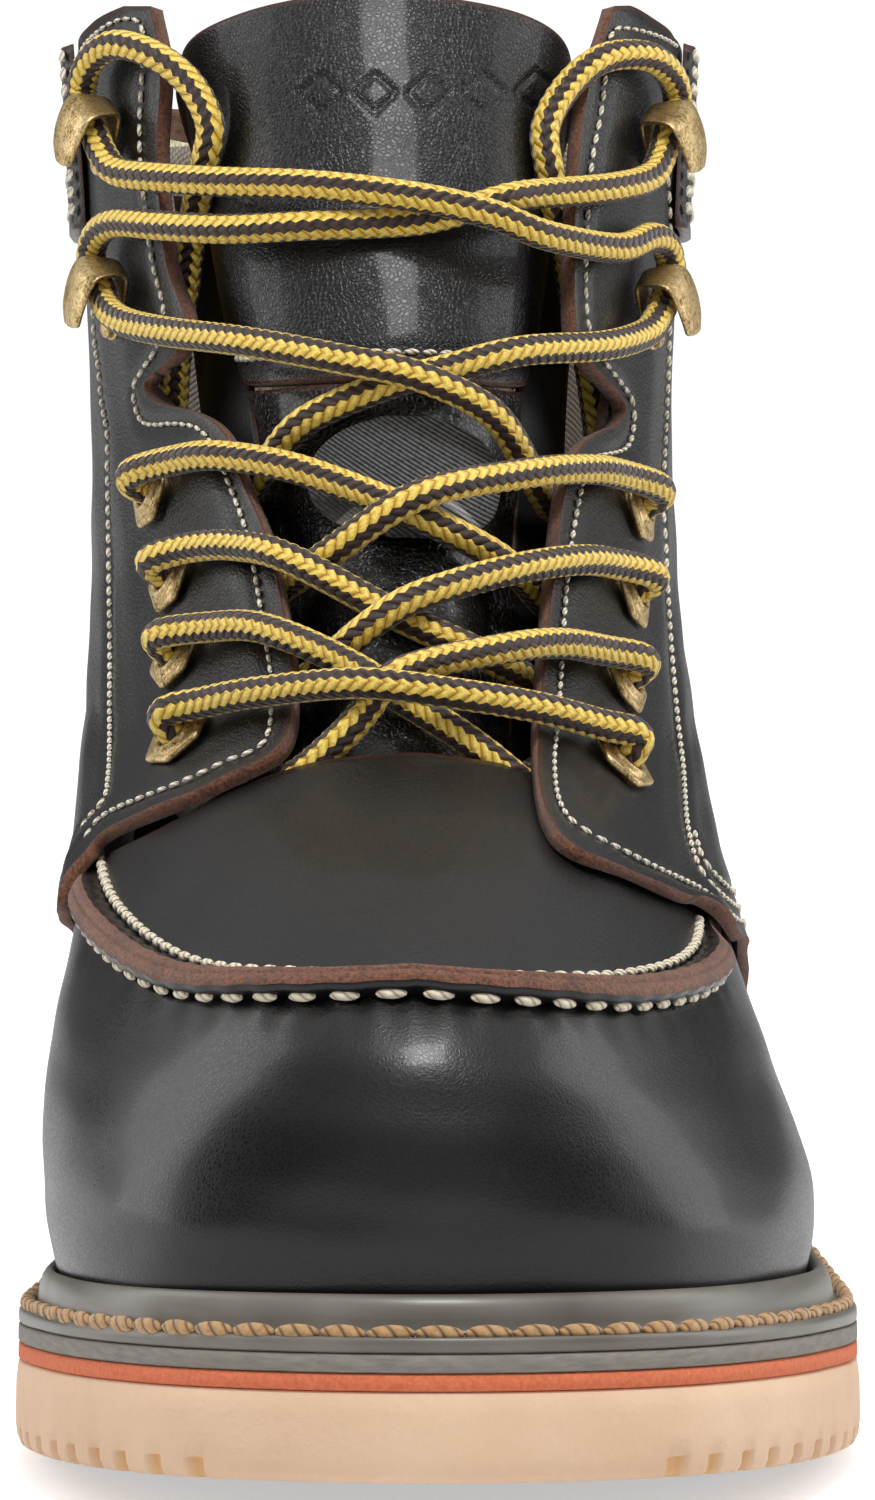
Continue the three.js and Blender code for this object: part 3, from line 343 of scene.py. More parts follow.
LACE_ROUTE = [
    [-0.385, 5.75, -4.6], [-0.393, 6.0, -4.6], [-0.396, 6.3, -4.6], [-0.388, 6.6, -4.9],
    [-0.365, 6.88, -4.8], [-0.325, 7.12, -4.5], [-0.288, 7.29, -3.7], [-0.25, 7.4, -1.9], [-0.217, 7.5, 0.0],
    [-0.2, 7.6, 1.0], [-0.213, 7.71, 2.6], [-0.245, 7.79, 4.6], [-0.29, 7.83, 5.8], [-0.33, 7.79, 6.3],
    [-0.352, 7.7, 6.4], [-0.335, 7.6, 6.4], [-0.322, 7.52, 6.3], [-0.3, 7.46, 6.0], [-0.24, 7.43, 5.3],
    [-0.16, 7.4, 5.6], [-0.06, 7.36, 7.0], [0.035, 7.31, 7.9], [0.1, 7.27, 7.6], [0.16, 7.23, 6.3],
    [0.27, 7.22, 5.3], [0.33, 7.26, 5.8], [0.366, 7.24, 6.2], [0.384, 7.15, 6.4], [0.372, 7.05, 6.4],
    [0.352, 6.97, 6.3], [0.325, 6.92, 5.8], [0.25, 6.88, 5.0], [0.138, 6.85, 4.2], [0.06, 6.8, 2.6],
    [-0.01, 6.74, 2.3], [-0.1, 6.63, 0.8], [-0.165, 6.49, -1.8], [-0.23, 6.37, -4.2], [-0.295, 6.31, -4.6],
    [-0.315, 6.31, -2.4], [-0.315, 6.31, 5.3], [-0.297, 6.36, 7.4], [-0.25, 6.42, 5.6], [-0.19, 6.44, 5.0],
    [-0.115, 6.4, 3.8], [-0.05, 6.32, 3.0], [0.02, 6.2, 2.9], [0.105, 6.09, 0.4], [0.165, 6.0, -1.8],
    [0.235, 5.88, -4.2], [0.298, 5.83, -4.6], [0.318, 5.82, -2.4], [0.318, 5.82, 5.3], [0.302, 5.87, 7.4],
    [0.255, 5.94, 5.6], [0.2, 5.96, 5.1], [0.125, 5.91, 5.0], [0.05, 5.81, 5.2], [-0.002, 5.72, 4.9],
    [-0.05, 5.63, 2.4], [-0.088, 5.57, -0.4], [-0.125, 5.51, -2.2], [-0.19, 5.46, -4.2], [-0.25, 5.46, -4.6],
    [-0.268, 5.47, -2.4], [-0.268, 5.47, 5.3], [-0.253, 5.52, 7.4], [-0.2, 5.6, 5.5], [-0.15, 5.6, 5.4],
    [-0.105, 5.54, 4.4], [-0.05, 5.45, 2.2], [-0.005, 5.34, 0.8], [0.07, 5.12, -0.2], [0.13, 4.92, -1.9],
    [0.18, 4.8, -3.9], [0.238, 4.75, -4.6], [0.255, 4.75, -2.4], [0.255, 4.75, 5.3], [0.243, 4.82, 7.4],
    [0.2, 4.96, 6.0], [0.13, 5.1, 5.4], [0.04, 5.16, 6.4], [-0.045, 5.19, 7.2], [-0.15, 5.19, 5.6],
    [-0.21, 5.1, 6.0], [-0.244, 4.98, 7.4], [-0.255, 4.92, 5.3], [-0.255, 4.92, -2.4], [-0.24, 4.92, -4.6],
    [-0.185, 4.92, -4.0], [-0.128, 4.95, -1.9], [-0.07, 5.1, 1.0], [-0.045, 5.19, 2.5], [-0.005, 5.33, 5.2],
    [0.09, 5.46, 5.2], [0.16, 5.51, 5.1], [0.225, 5.46, 5.6], [0.268, 5.37, 7.4], [0.282, 5.32, 5.3],
    [0.282, 5.32, -2.4], [0.265, 5.34, -4.6], [0.21, 5.42, -4.2], [0.15, 5.52, -1.8], [0.085, 5.61, 0.1],
    [-0.002, 5.77, 0.8], [-0.11, 5.95, 5.1], [-0.17, 6.03, 4.9], [-0.225, 6.02, 5.6], [-0.265, 5.95, 7.4],
    [-0.28, 5.91, 5.3], [-0.28, 5.91, -2.4], [-0.262, 5.91, -4.6], [-0.2, 5.94, -4.2], [-0.138, 5.98, -1.6],
    [-0.07, 6.04, 2.9], [0.02, 6.19, 7.0], [0.13, 6.33, 5.6], [0.22, 6.38, 5.1], [0.285, 6.35, 5.7],
    [0.332, 6.28, 7.4], [0.35, 6.23, 5.3], [0.35, 6.23, -2.4], [0.33, 6.24, -4.6], [0.26, 6.31, -4.2],
    [0.195, 6.42, -1.8], [0.11, 6.61, 3.4], [0.03, 6.7, 6.7], [-0.05, 6.78, 6.6], [-0.142, 6.87, 5.8],
    [-0.24, 6.93, 5.2], [-0.31, 6.97, 5.8], [-0.342, 7.02, 6.3], [-0.355, 7.09, 6.4], [-0.374, 7.18, 6.4],
    [-0.356, 7.27, 6.3], [-0.315, 7.31, 5.8], [-0.25, 7.29, 5.1], [-0.165, 7.27, 4.2], [-0.07, 7.27, 4.3],
    [0.03, 7.29, 3.4], [0.09, 7.33, 3.5], [0.138, 7.36, 4.7], [0.25, 7.4, 5.2], [0.315, 7.44, 6.0],
    [0.338, 7.5, 6.3], [0.35, 7.58, 6.4], [0.367, 7.68, 6.4], [0.345, 7.76, 6.3], [0.3, 7.8, 5.8],
    [0.245, 7.78, 4.4], [0.21, 7.7, 2.4], [0.192, 7.59, 0.8], [0.205, 7.47, 0.1], [0.236, 7.36, -1.9],
    [0.28, 7.26, -3.6], [0.32, 7.1, -4.5], [0.365, 6.86, -4.6], [0.392, 6.56, -4.6], [0.402, 6.26, -4.6],
    [0.4, 5.96, -4.6], [0.392, 5.7, -4.6],
]

lace_knots = place(*np.array(LACE_ROUTE).T)
lace_path = spaced(lace_knots, LACE_STEP)


def braid_radius(angle, step):
    """The strands stand proud in slanting rows and the cord is waisted between them."""
    along = step * LACE_STEP / BRAID_PITCH
    slant = np.abs(2 * ((angle * BRAID_ROWS) % 1) - 1)
    strand = np.abs(np.sin(np.pi * (along + STRAND_SLANT * slant)))
    return LACE_DIAMETER / 2 * (0.97 + 0.11 * np.sqrt(strand))


braid, tree, shader = finish("braided_lace", Roughness=0.62, Sheen_Weight=0.25, Sheen_Roughness=0.4)
round_share, pitches = uv_parts(tree)
zigzag = calc(tree, "PINGPONG", pitches, 0.5)
leaning = calc(tree, "MULTIPLY_ADD", pitches, STRIPE_LEAN, round_share)
shifted = calc(tree, "MULTIPLY_ADD", zigzag, STRIPE_SWAY, leaning)
stripe = calc(tree, "FRACT", calc(tree, "MULTIPLY", shifted, float(BRAID_ROWS)))
is_brown = calc(tree, "LESS_THAN", stripe, BROWN_SHARE)
slant = calc(tree, "PINGPONG", calc(tree, "MULTIPLY", round_share, float(BRAID_ROWS)), 0.5)
strand_phase = calc(tree, "MULTIPLY_ADD", slant, 2 * STRAND_SLANT, pitches)
strand = calc(tree, "ABSOLUTE", calc(tree, "SINE", calc(tree, "MULTIPLY", strand_phase, math.pi)))
fibre = noise(tree, object_coords(tree), 2600, 3)
# Painted shade: both strand ramps run darker between the strands and lighter on their crowns.
yellow = ramp(tree, strand, (0.0, (0.36, 0.17, 0.010)), (0.35, (0.78, 0.48, 0.040)),
              (1.0, (0.90, 0.68, 0.14)))
brown = ramp(tree, strand, (0.0, (0.004, 0.002, 0.001)), (0.6, (0.024, 0.010, 0.006)),
             (1.0, (0.050, 0.022, 0.014)))
lace_colour = mixed(tree, is_brown, yellow, brown)
lace_colour = mixed(tree, span(tree, fibre, 0.35, 0.75, 0.0, 0.35), lace_colour, (0.02, 0.01, 0.005))
relief = calc(tree, "MULTIPLY_ADD", strand, 1.0, calc(tree, "MULTIPLY", fibre, 0.35))
set_shader(tree, shader, lace_colour, span(tree, fibre, 0.3, 0.7, 0.5, 0.75), relief, 0.00025)

lace = tube("lace_braid", lace_path, BRAID_SIDES, braid_radius, (0, 0, 1), [braid])
corner = np.empty(len(lace.data.loops), np.int32)
lace.data.loops.foreach_get("vertex_index", corner)
lace_uv = np.stack([(corner % BRAID_SIDES) / BRAID_SIDES,
                    (corner // BRAID_SIDES) * LACE_STEP / BRAID_PITCH], 1)
quad_corner = np.arange(len(corner)) % 4
in_quads = np.arange(len(corner)) < 4 * (len(lace_path) - 1) * BRAID_SIDES
wraps = in_quads & (corner % BRAID_SIDES == 0) & ((quad_corner == 1) | (quad_corner == 2))
lace_uv[wraps, 0] = 1
lace.data.uv_layers.new(name="UVMap").data.foreach_set("uv", lace_uv.astype(np.float32).ravel())
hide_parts("lace")
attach(lace, "root")

# The two ends carry crimped metal tips, tucked down inside the shaft.
tip_metal, tree, shader = finish("lace_tip_brass", Metallic=1.0)
crimp = add(tree, "ShaderNodeTexWave", {"Vector": object_coords(tree), "Scale": 260, "Distortion": 0.6})
patina = noise(tree, object_coords(tree), 900, 4)
set_shader(tree, shader, ramp(tree, patina, (0.3, (0.10, 0.06, 0.02)), (0.7, (0.36, 0.24, 0.09))),
           span(tree, patina, 0.3, 0.7, 0.6, 0.35), crimp.outputs["Fac"], 0.0002)


def recoat(material, *nodes):
    """Gives CAD nodes that are kept as they are a material of this script's."""
    for node in nodes:
        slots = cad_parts[node].data.materials
        slots.clear()
        slots.append(material)


recoat(tip_metal, "aglet_medial", "aglet_lateral")

# ---------------------------------------------------------------- sole unit
# A wedge sole of three foam rubber layers cemented together and sanded flush: a cream
# outsole with a nicked and ribbed tread, a thin orange layer and a grey midsole.

SOLE_FRONT, SOLE_BACK = -150 * MM, 150 * MM
TOE_SPRING, SPRING_START = 9.7 * MM, -38 * MM
OUTSOLE_DROP, STRIPE_THICK, WELT_THICK, SEAM_GAP = 6.8 * MM, 2.3 * MM, 2.0 * MM, 0.1 * MM
SOLE_LATERAL = np.array([36.5, 57.5, 53, 42, 29]) * MM
SOLE_MEDIAL = np.array([37, 54, 44, 38.5, 29.5]) * MM
SOLE_TOP = np.array([28.1, 23.2, 19.2, 22.6, 28.6, 33.6, 36.5]) * MM
NICK_PITCH, NICK_WIDTH, NICK_DEPTH, NICK_HEIGHT = 7.6 * MM, 2.4 * MM, 1.1 * MM, 2.6 * MM
NICK_FREE = 33 * MM
SOLE_SHIFT, LAYER_INSET, EDGE_POINTS = -7 * MM, 0.5 * MM, 880


def sole_edge(turn):
    """The sole's outline seen from above."""
    turn = (turn + 1) % 2 - 1
    along = lengthwise(turn)
    stations = np.where(turn[None] < 0, SOLE_MEDIAL[:, None], SOLE_LATERAL[:, None])
    x = SOLE_SHIFT * along + breadth(stations, turn) * np.where(turn < 0, -1, 1)
    return np.stack([x, SOLE_FRONT + (SOLE_BACK - SOLE_FRONT) * along], 1)


def sole_inset(turn, inset):
    """The outline moved in by a distance."""
    tangent = unit(sole_edge(turn + 0.002) - sole_edge(turn - 0.002))
    return sole_edge(turn) + np.stack([-tangent[:, 1], tangent[:, 0]], 1) * np.reshape(inset, (-1, 1))


def sole_top(y):
    """Height of the sole's upper face, which carries the welt."""
    return open_spline(SOLE_TOP, (y - SOLE_FRONT) / (50 * MM))


def toe_spring(y):
    """Height of the underside, which curls up at the toe."""
    rise = np.clip((SPRING_START - y) / (SPRING_START - SOLE_FRONT), 0, None) ** 1.25
    return TOE_SPRING * rise


def tread_cap(ring, first, relief, columns=44):
    """Points and faces of a patterned underside that spans a ring from side to side."""
    around = len(ring)
    rows = around // 2
    near, far = ring[:rows + 1], ring[(around - np.arange(rows + 1)) % around]
    share = np.linspace(0, 1, columns + 1)[1:-1]
    inner = near[:, None] + (far - near)[:, None] * share[None, :, None]
    span_x = np.abs(far - near)[:, :1]
    to_side = np.minimum(share, 1 - share)[None] * span_x
    inner[..., 2] += relief(inner[..., 0], inner[..., 1]) * smooth(to_side, 0.5 * MM, 2.5 * MM)
    ids = np.empty((rows + 1, columns + 1), int)
    ids[:, 0] = np.arange(rows + 1)
    ids[:, -1] = (around - np.arange(rows + 1)) % around
    ids[1:-1, 1:-1] = first + np.arange((rows - 1) * (columns - 1)).reshape(rows - 1, columns - 1)
    ids[0, 1:-1], ids[-1, 1:-1] = 0, rows
    faces = np.stack([ids[:-1, :-1], ids[:-1, 1:], ids[1:, 1:], ids[1:, :-1]], -1).reshape(-1, 4)
    return inner[1:-1].reshape(-1, 3), [list(dict.fromkeys(face)) for face in faces.tolist()]


def tower(name, rings, materials, relief=None, values=None):
    """A closed stack of equal rings, from the bottom up, capped across the foot."""
    rings = np.asarray(rings)
    levels, around = rings.shape[:2]
    ids = np.arange(levels * around).reshape(levels, around)
    faces = lofted(levels, around).tolist()
    points = rings.reshape(-1, 3)
    for ring, turned in ((ids[-1], False), (ids[0], True)):
        if turned and relief is not None:
            extra, cap = tread_cap(rings[0], len(points), relief)
            points = np.vstack([points, extra])
            faces += cap
            values = {key: np.concatenate([v, np.zeros(len(extra))]) for key, v in values.items()}
            continue
        for k in range(around // 2):
            strip = [ring[k], ring[k + 1], ring[around - k - 1], ring[(around - k) % around]]
            strip = strip[:3] if strip[0] == strip[3] else strip
            faces.append(strip[::-1] if turned else strip)
    return mesh_piece(name, points, faces, materials, values=values)


def even_turns(count):
    """Turns at even steps round the sole's edge, from the heel round by the medial side."""
    fine = np.linspace(-1, 1, 4001)
    run = np.concatenate([[0], np.cumsum(np.linalg.norm(np.diff(sole_edge(fine), axis=0), axis=1))])
    middle = run[2000]
    stops = np.linspace(0, run[-1], count, endpoint=False)
    return np.interp(stops, run, fine), stops - middle


def rim_ring(turn, inset, height):
    """One ring inside the outline, whose height depends on how far along it is."""
    edge = sole_inset(turn, inset)
    return np.column_stack([edge, height(edge[:, 1]) + np.zeros(len(turn))])


# Outsole: the nicks are the ends of the tread's ribs, cut through the lower edge.
sole_turns, sole_run = even_turns(EDGE_POINTS)
into_nick = (np.abs(sole_run) - NICK_FREE) % NICK_PITCH
nick = ((np.abs(sole_run) > NICK_FREE) & (into_nick < NICK_WIDTH)).astype(float)


def outsole_ring(inset, height, nicked=1.0):
    """A ring of the outsole, cut back at each nick."""
    return rim_ring(sole_turns, inset + nick * nicked * NICK_DEPTH, height)


def upper_wall(share):
    """A height at a share of the way from the underside to the outsole's upper face."""
    return lambda y: (1 - share) * toe_spring(y) + share * (sole_top(y) - OUTSOLE_DROP - SEAM_GAP)


outsole_rings = [
    outsole_ring(8 * MM, toe_spring),
    outsole_ring(1.5 * MM, toe_spring),
    outsole_ring(0.7 * MM, lambda y: toe_spring(y) + 0.35 * MM),
    outsole_ring(0.3 * MM, lambda y: toe_spring(y) + 1.3 * MM),
    outsole_ring(0.15 * MM, lambda y: toe_spring(y) + NICK_HEIGHT),
    outsole_ring(0.12 * MM, lambda y: toe_spring(y) + NICK_HEIGHT + 0.25 * MM, 0.0),
    outsole_ring(0.1 * MM, upper_wall(0.45), 0.0),
    outsole_ring(0.2 * MM, upper_wall(0.75), 0.0),
    outsole_ring(0.5 * MM, upper_wall(0.97), 0.0),
    outsole_ring(0.9 * MM, upper_wall(1.0), 0.0),
]

cream, tree, shader = finish("cream_foam_rubber", Roughness=0.75, Subsurface_Weight=0.08,
                             Subsurface_Radius=(0.003, 0.002, 0.001))
coords = object_coords(tree)
cloud = noise(tree, coords, 45, 4)
speck = noise(tree, coords, 900, 3, 0.7)
low = add(tree, "ShaderNodeSeparateXYZ", {"Vector": coords}).outputs["Z"]
pale = ramp(tree, cloud, (0.3, (0.63, 0.42, 0.275)), (0.55, (0.69, 0.475, 0.325)),
            (0.8, (0.74, 0.53, 0.37)))
pale = mixed(tree, span(tree, speck, 0.62, 0.8, 0, 0.35), pale, (0.60, 0.38, 0.22))
# Painted shade: the faces cut back at the nicks are mixed towards a darker, warmer tan.
nicked = add(tree, "ShaderNodeAttribute", attribute_name="nick").outputs["Fac"]
pale = mixed(tree, calc(tree, "MULTIPLY", nicked, 0.75), pale, (0.66, 0.36, 0.13))
scuff = calc(tree, "MULTIPLY", span(tree, low, 0.004, 0.0, 0, 0.5), span(tree, cloud, 0.4, 0.7))
pale = mixed(tree, scuff, pale, (0.50, 0.36, 0.24))
pits = add(tree, "ShaderNodeTexVoronoi", {"Vector": coords, "Scale": 700}).outputs["Distance"]
grit = calc(tree, "MULTIPLY_ADD", pits, 0.5, speck)
set_shader(tree, shader, pale, span(tree, cloud, 0.3, 0.8, 0.68, 0.85), grit, 0.00025, 0.5)

nick_levels = np.array([0, 1, 1, 1, 1, 0, 0, 0, 0, 0])
RIB_PITCH, RIB_DEPTH, RIB_SWAY, SWAY_PITCH = 5.8 * MM, 1.0 * MM, 1.5 * MM, 22 * MM


def tread_ribs(x, y):
    """Wavy ribs across the underside: how far the sole is hollowed between them."""
    wave = np.cos((y + RIB_SWAY * np.sin(x * 2 * np.pi / SWAY_PITCH)) * 2 * np.pi / RIB_PITCH)
    return RIB_DEPTH * smooth(wave, -0.35, 0.35)


outsole = tower("sole_outsole", outsole_rings, [cream], tread_ribs,
                {"nick": (nick_levels[:, None] * nick[None]).ravel()})

stripe_rubber, tree, shader = finish("orange_stripe_rubber", Roughness=0.85)
coords = object_coords(tree)
felt = noise(tree, coords, 1400, 4, 0.7)
set_shader(tree, shader, ramp(tree, felt, (0.3, (0.52, 0.115, 0.045)), (0.7, (0.70, 0.19, 0.085))),
           None, felt, 0.0003, 0.6)
midsole_rubber, tree, shader = finish("grey_midsole_rubber", Roughness=0.7)
sanded = noise(tree, object_coords(tree, (300, 300, 1500)), 1.0, 3, 0.6)
broad = noise(tree, object_coords(tree), 30, 2)
grey = ramp(tree, sanded, (0.3, (0.15, 0.135, 0.115)), (0.7, (0.26, 0.235, 0.205)))
grey = mixed(tree, span(tree, broad, 0.35, 0.7, 0, 0.4), grey, (0.19, 0.18, 0.14))
set_shader(tree, shader, grey, span(tree, sanded, 0.3, 0.7, 0.6, 0.8), sanded, 0.0002, 0.5)


def sole_layer(name, low, high, material):
    """One flat layer between two drops from the top of the sole, a little softer at its lines."""
    rings = [rim_ring(sole_turns[::2], LAYER_INSET + shrink, lambda y, h=h: sole_top(y) + h)
             for shrink, h in ((0.35 * MM, low), (0, low + 0.3 * MM), (0, (low + high) / 2),
                               (0.05 * MM, high - 0.25 * MM), (0.4 * MM, high))]
    return tower(name, rings, [material])


stripe = sole_layer("sole_stripe", -OUTSOLE_DROP, STRIPE_THICK - OUTSOLE_DROP - SEAM_GAP, stripe_rubber)
midsole = sole_layer("sole_midsole", STRIPE_THICK - OUTSOLE_DROP, -WELT_THICK - SEAM_GAP, midsole_rubber)
settle(outsole, "outsole")
settle(stripe, "midsole_stripe")
settle(midsole, "midsole")

# ---------------------------------------------------------------- storm welt
# A grey strip sewn round the feather of the upper: a flat flange out to the sole's edge
# and a rolled rib that stands against the leather and keeps the water out.

FEATHER_LEVEL, FULL_ROLL, LEAST_ROLL = 0.02, 8.6 * MM, 0.55


def feather_offset(turn):
    """How far the upper's outer face stands off the skin at the feather line, in mm."""
    t = np.abs((turn + 1) % 2 - 1)
    return 0.2 + 2.4 * smooth(t, 0.46, 0.6) + 2.3 * smooth(t, 0.7, 0.8)


welt_turns = sole_turns[::2]
feather = place(welt_turns, FEATHER_LEVEL, feather_offset(welt_turns))
outward = unit(skin_normal(welt_turns, np.full(len(welt_turns), FEATHER_LEVEL)) * [1, 1, 0])
flange = sole_inset(welt_turns, 0.55 * MM)
room = np.einsum("ij,ij->i", np.column_stack([flange, feather[:, 2]]) - feather, outward)
roll_scale = np.clip(room / FULL_ROLL, LEAST_ROLL, 1)[:, None]


def welt_ring(out, height, scaled=True):
    """A ring at a distance out from the upper and a height over the sole, in mm."""
    reach = out * MM * (roll_scale if scaled else 1)
    ring = feather + outward * reach
    ring[:, 2] = sole_top(ring[:, 1]) + height * MM
    return ring


def flange_ring(inset, height):
    """A ring at an inset, in mm, from the sole's outline."""
    return rim_ring(welt_turns, inset * MM, lambda y: sole_top(y) + height * MM)


welt_rings = np.array([
    welt_ring(-3, -2.0, False), flange_ring(0.9, -2.0), flange_ring(0.6, -1.7), flange_ring(0.55, -1.0),
    flange_ring(0.6, -0.35), flange_ring(0.95, 0.0), welt_ring(5.9, 0.1), welt_ring(5.1, 0.3),
    welt_ring(4.7, 0.9), welt_ring(4.5, 2.0), welt_ring(4.2, 3.2), welt_ring(3.7, 4.2),
    welt_ring(3.0, 4.9), welt_ring(2.2, 5.2), welt_ring(1.5, 5.0), welt_ring(1.0, 4.3),
    welt_ring(0.7, 3.2), welt_ring(0.55, 0.8), welt_ring(-3, 0.3, False),
])

welt_grey, tree, shader = finish("grey_welt", Coat_Weight=0.25, Coat_Roughness=0.3)
streak = noise(tree, object_coords(tree, (60, 60, 900)), 1.0, 3)
cloud = noise(tree, object_coords(tree), 60, 3)
grey = ramp(tree, cloud, (0.3, (0.100, 0.090, 0.074)), (0.7, (0.165, 0.150, 0.126)))
set_shader(tree, shader, mixed(tree, span(tree, streak, 0.4, 0.7, 0, 0.3), grey, (0.10, 0.09, 0.075)),
           span(tree, cloud, 0.3, 0.7, 0.34, 0.5), streak, 0.00012, 0.35)
welt = mesh_piece("storm_welt_roll", welt_rings.reshape(-1, 3),
                  lofted(*welt_rings.shape[:2], closed=True), [welt_grey])
settle(welt, "storm_welt")

# ---------------------------------------------------------------- welt stitching
# A thick two-ply waxed thread, tan and gold, that arches from hole to hole on the welt's
# flange just outside the rib, all the way round.

WELT_STITCH_PITCH, WELT_THREAD = 6.1 * MM, 1.9 * MM


def link_nodes(tree, *pairs):
    for source, target in pairs:
        tree.links.new(source, target)


def thread_tree():
    """Geometry Nodes: one stitch at every pitch along each line, lying on the leather."""
    tree = bpy.data.node_groups.new("thread_run", "GeometryNodeTree")
    face = tree.interface
    face.new_socket("Lines", in_out="INPUT", socket_type="NodeSocketGeometry")
    for name, kind in (("Pitch", "Float"), ("Stitch Length", "Float"), ("Width", "Float"),
                       ("Height", "Float"), ("Wander", "Float"), ("Seed", "Int"), ("Thread", "Material")):
        face.new_socket(name, in_out="INPUT", socket_type="NodeSocket" + kind)
    face.new_socket("Stitches", in_out="OUTPUT", socket_type="NodeSocketGeometry")
    given = tree.nodes.new("NodeGroupInput").outputs
    line = add(tree, "GeometryNodeMeshToCurve", {"Mesh": given["Lines"]})
    cut = add(tree, "GeometryNodeResampleCurve", {"Curve": line.outputs[0], "Length": given["Pitch"]},
              mode="LENGTH")
    grain = add(tree, "GeometryNodeMeshUVSphere", {"Segments": 10, "Rings": 8})
    wound = add(tree, "GeometryNodeStoreNamedAttribute",
                {"Geometry": grain.outputs["Mesh"], "Name": "UVMap"},
                data_type="FLOAT2", domain="CORNER")
    tree.links.new(grain.outputs["UV Map"], wound.inputs["Value"])
    lying = add(tree, "GeometryNodeTransform",
                {"Geometry": wound.outputs[0], "Rotation": (0, math.pi / 2, 0)})
    rounded = add(tree, "GeometryNodeSetShadeSmooth", {"Geometry": lying.outputs[0]})
    tangent = tree.nodes.new("GeometryNodeInputTangent")
    outward = add(tree, "GeometryNodeInputNamedAttribute", {"Name": "outward"}, data_type="FLOAT_VECTOR")
    along = add(tree, "FunctionNodeAlignRotationToVector", {"Vector": tangent.outputs[0]}, axis="X")
    laid = add(tree, "FunctionNodeAlignRotationToVector",
               {"Rotation": along.outputs[0], "Vector": outward.outputs[0]}, axis="Z", pivot_axis="X")
    stray = add(tree, "FunctionNodeRandomValue", {"Seed": given["Seed"]}, data_type="FLOAT")
    low = add(tree, "ShaderNodeMath", {0: 0.0, 1: given["Wander"]}, operation="SUBTRACT")
    link_nodes(tree, (low.outputs[0], stray.inputs[2]), (given["Wander"], stray.inputs[3]))
    spin = add(tree, "ShaderNodeCombineXYZ", {"Z": stray.outputs[1]})
    euler = add(tree, "FunctionNodeEulerToRotation", {"Euler": spin.outputs[0]})
    turned = add(tree, "FunctionNodeRotateRotation",
                 {"Rotation": laid.outputs[0], "Rotate By": euler.outputs[0]}, rotation_space="LOCAL")
    half = [add(tree, "ShaderNodeMath", {0: given[k], 1: 0.5}, operation="MULTIPLY").outputs[0]
            for k in ("Stitch Length", "Width", "Height")]
    size = add(tree, "ShaderNodeCombineXYZ", {"X": half[0], "Y": half[1], "Z": half[2]})
    put = add(tree, "GeometryNodeInstanceOnPoints",
              {"Points": cut.outputs[0], "Instance": rounded.outputs[0],
               "Rotation": turned.outputs[0], "Scale": size.outputs[0]})
    real = add(tree, "GeometryNodeRealizeInstances", {"Geometry": put.outputs[0]})
    done = add(tree, "GeometryNodeSetMaterial", {"Geometry": real.outputs[0], "Material": given["Thread"]})
    tree.links.new(done.outputs[0], tree.nodes.new("NodeGroupOutput").inputs[0])
    return tree


THREAD_RUN = thread_tree()


def stitched(name, lines, pitch, length, width, height, material, wander, seed, body="root"):
    """Stitches along lines, each a pair of arrays: points and the outward direction there."""
    mesh = bpy.data.meshes.new(name + "_lines")
    points = np.concatenate([p for p, _ in lines])
    edges, start = [], 0
    for p, _ in lines:
        edges += [(start + k, start + k + 1) for k in range(len(p) - 1)]
        start += len(p)
    mesh.from_pydata(points.tolist(), edges, [])
    outward = mesh.attributes.new("outward", "FLOAT_VECTOR", "POINT")
    outward.data.foreach_set("vector", np.concatenate([n for _, n in lines]).astype(np.float32).ravel())
    carrier = link(bpy.data.objects.new(name + "_carrier", mesh))
    run = carrier.modifiers.new("stitches", "NODES")
    run.node_group = THREAD_RUN
    sockets = {s.name: s.identifier for s in THREAD_RUN.interface.items_tree if s.in_out == "INPUT"}
    values = {"Pitch": pitch, "Stitch Length": length, "Width": width, "Height": height,
              "Wander": wander, "Seed": seed, "Thread": material}
    for key, value in values.items():
        run[sockets[key]] = value
    baked = bpy.data.meshes.new_from_object(carrier.evaluated_get(bpy.context.evaluated_depsgraph_get()))
    baked.name = name
    bpy.data.objects.remove(carrier)
    piece = link(bpy.data.objects.new(name, baked))
    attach(piece, body)
    return piece


def thread(name, pale, deep, twist):
    """Twisted thread: plies wind round each stitch, paler on top, with painted shade darker between them."""
    material, tree, shader = finish(name, Sheen_Weight=0.2)
    u, v = uv_parts(tree)
    ply = calc(tree, "MULTIPLY_ADD", v, twist, calc(tree, "MULTIPLY", u, 2.0))
    ridge = calc(tree, "ABSOLUTE", calc(tree, "SINE", calc(tree, "MULTIPLY", ply, math.pi)))
    dirt = noise(tree, object_coords(tree), 1200, 3)
    # Painted shade: the ramp runs to the deep colour between the plies; the dirt noise darkens towards the
    # same colour at random.
    colour = ramp(tree, ridge, (0.0, deep), (0.6, pale), (1.0, pale))
    colour = mixed(tree, span(tree, dirt, 0.45, 0.75, 0, 0.4), colour, deep)
    set_shader(tree, shader, colour, span(tree, dirt, 0.3, 0.7, 0.65, 0.85), ridge, 0.0003, 0.8)
    return material


gold_thread = thread("welt_thread", (0.46, 0.27, 0.115), (0.10, 0.045, 0.016), 4.0)
seat_line = feather + outward * (0.5 * (5.1 * MM * roll_scale + room[:, None]))
seat_line[:, 2] = sole_top(seat_line[:, 1]) + 0.4 * MM
seat_line = np.vstack([seat_line, seat_line[:1]])
seat_out = np.tile([0.0, 0.0, 1.0], (len(seat_line), 1)) + 0.35 * np.vstack([outward, outward[:1]])
welt_stitches = stitched("welt_stitches", [(seat_line, unit(seat_out))], WELT_STITCH_PITCH,
                         WELT_STITCH_PITCH * 1.02, WELT_THREAD, WELT_THREAD * 1.3, gold_thread, 0.08, 3)

# ---------------------------------------------------------------- inside of the sole
# Cork filler, a steel shank and a leather insole board lie under a removable foam
# footbed covered in dark textile, which is all that shows down the shaft.

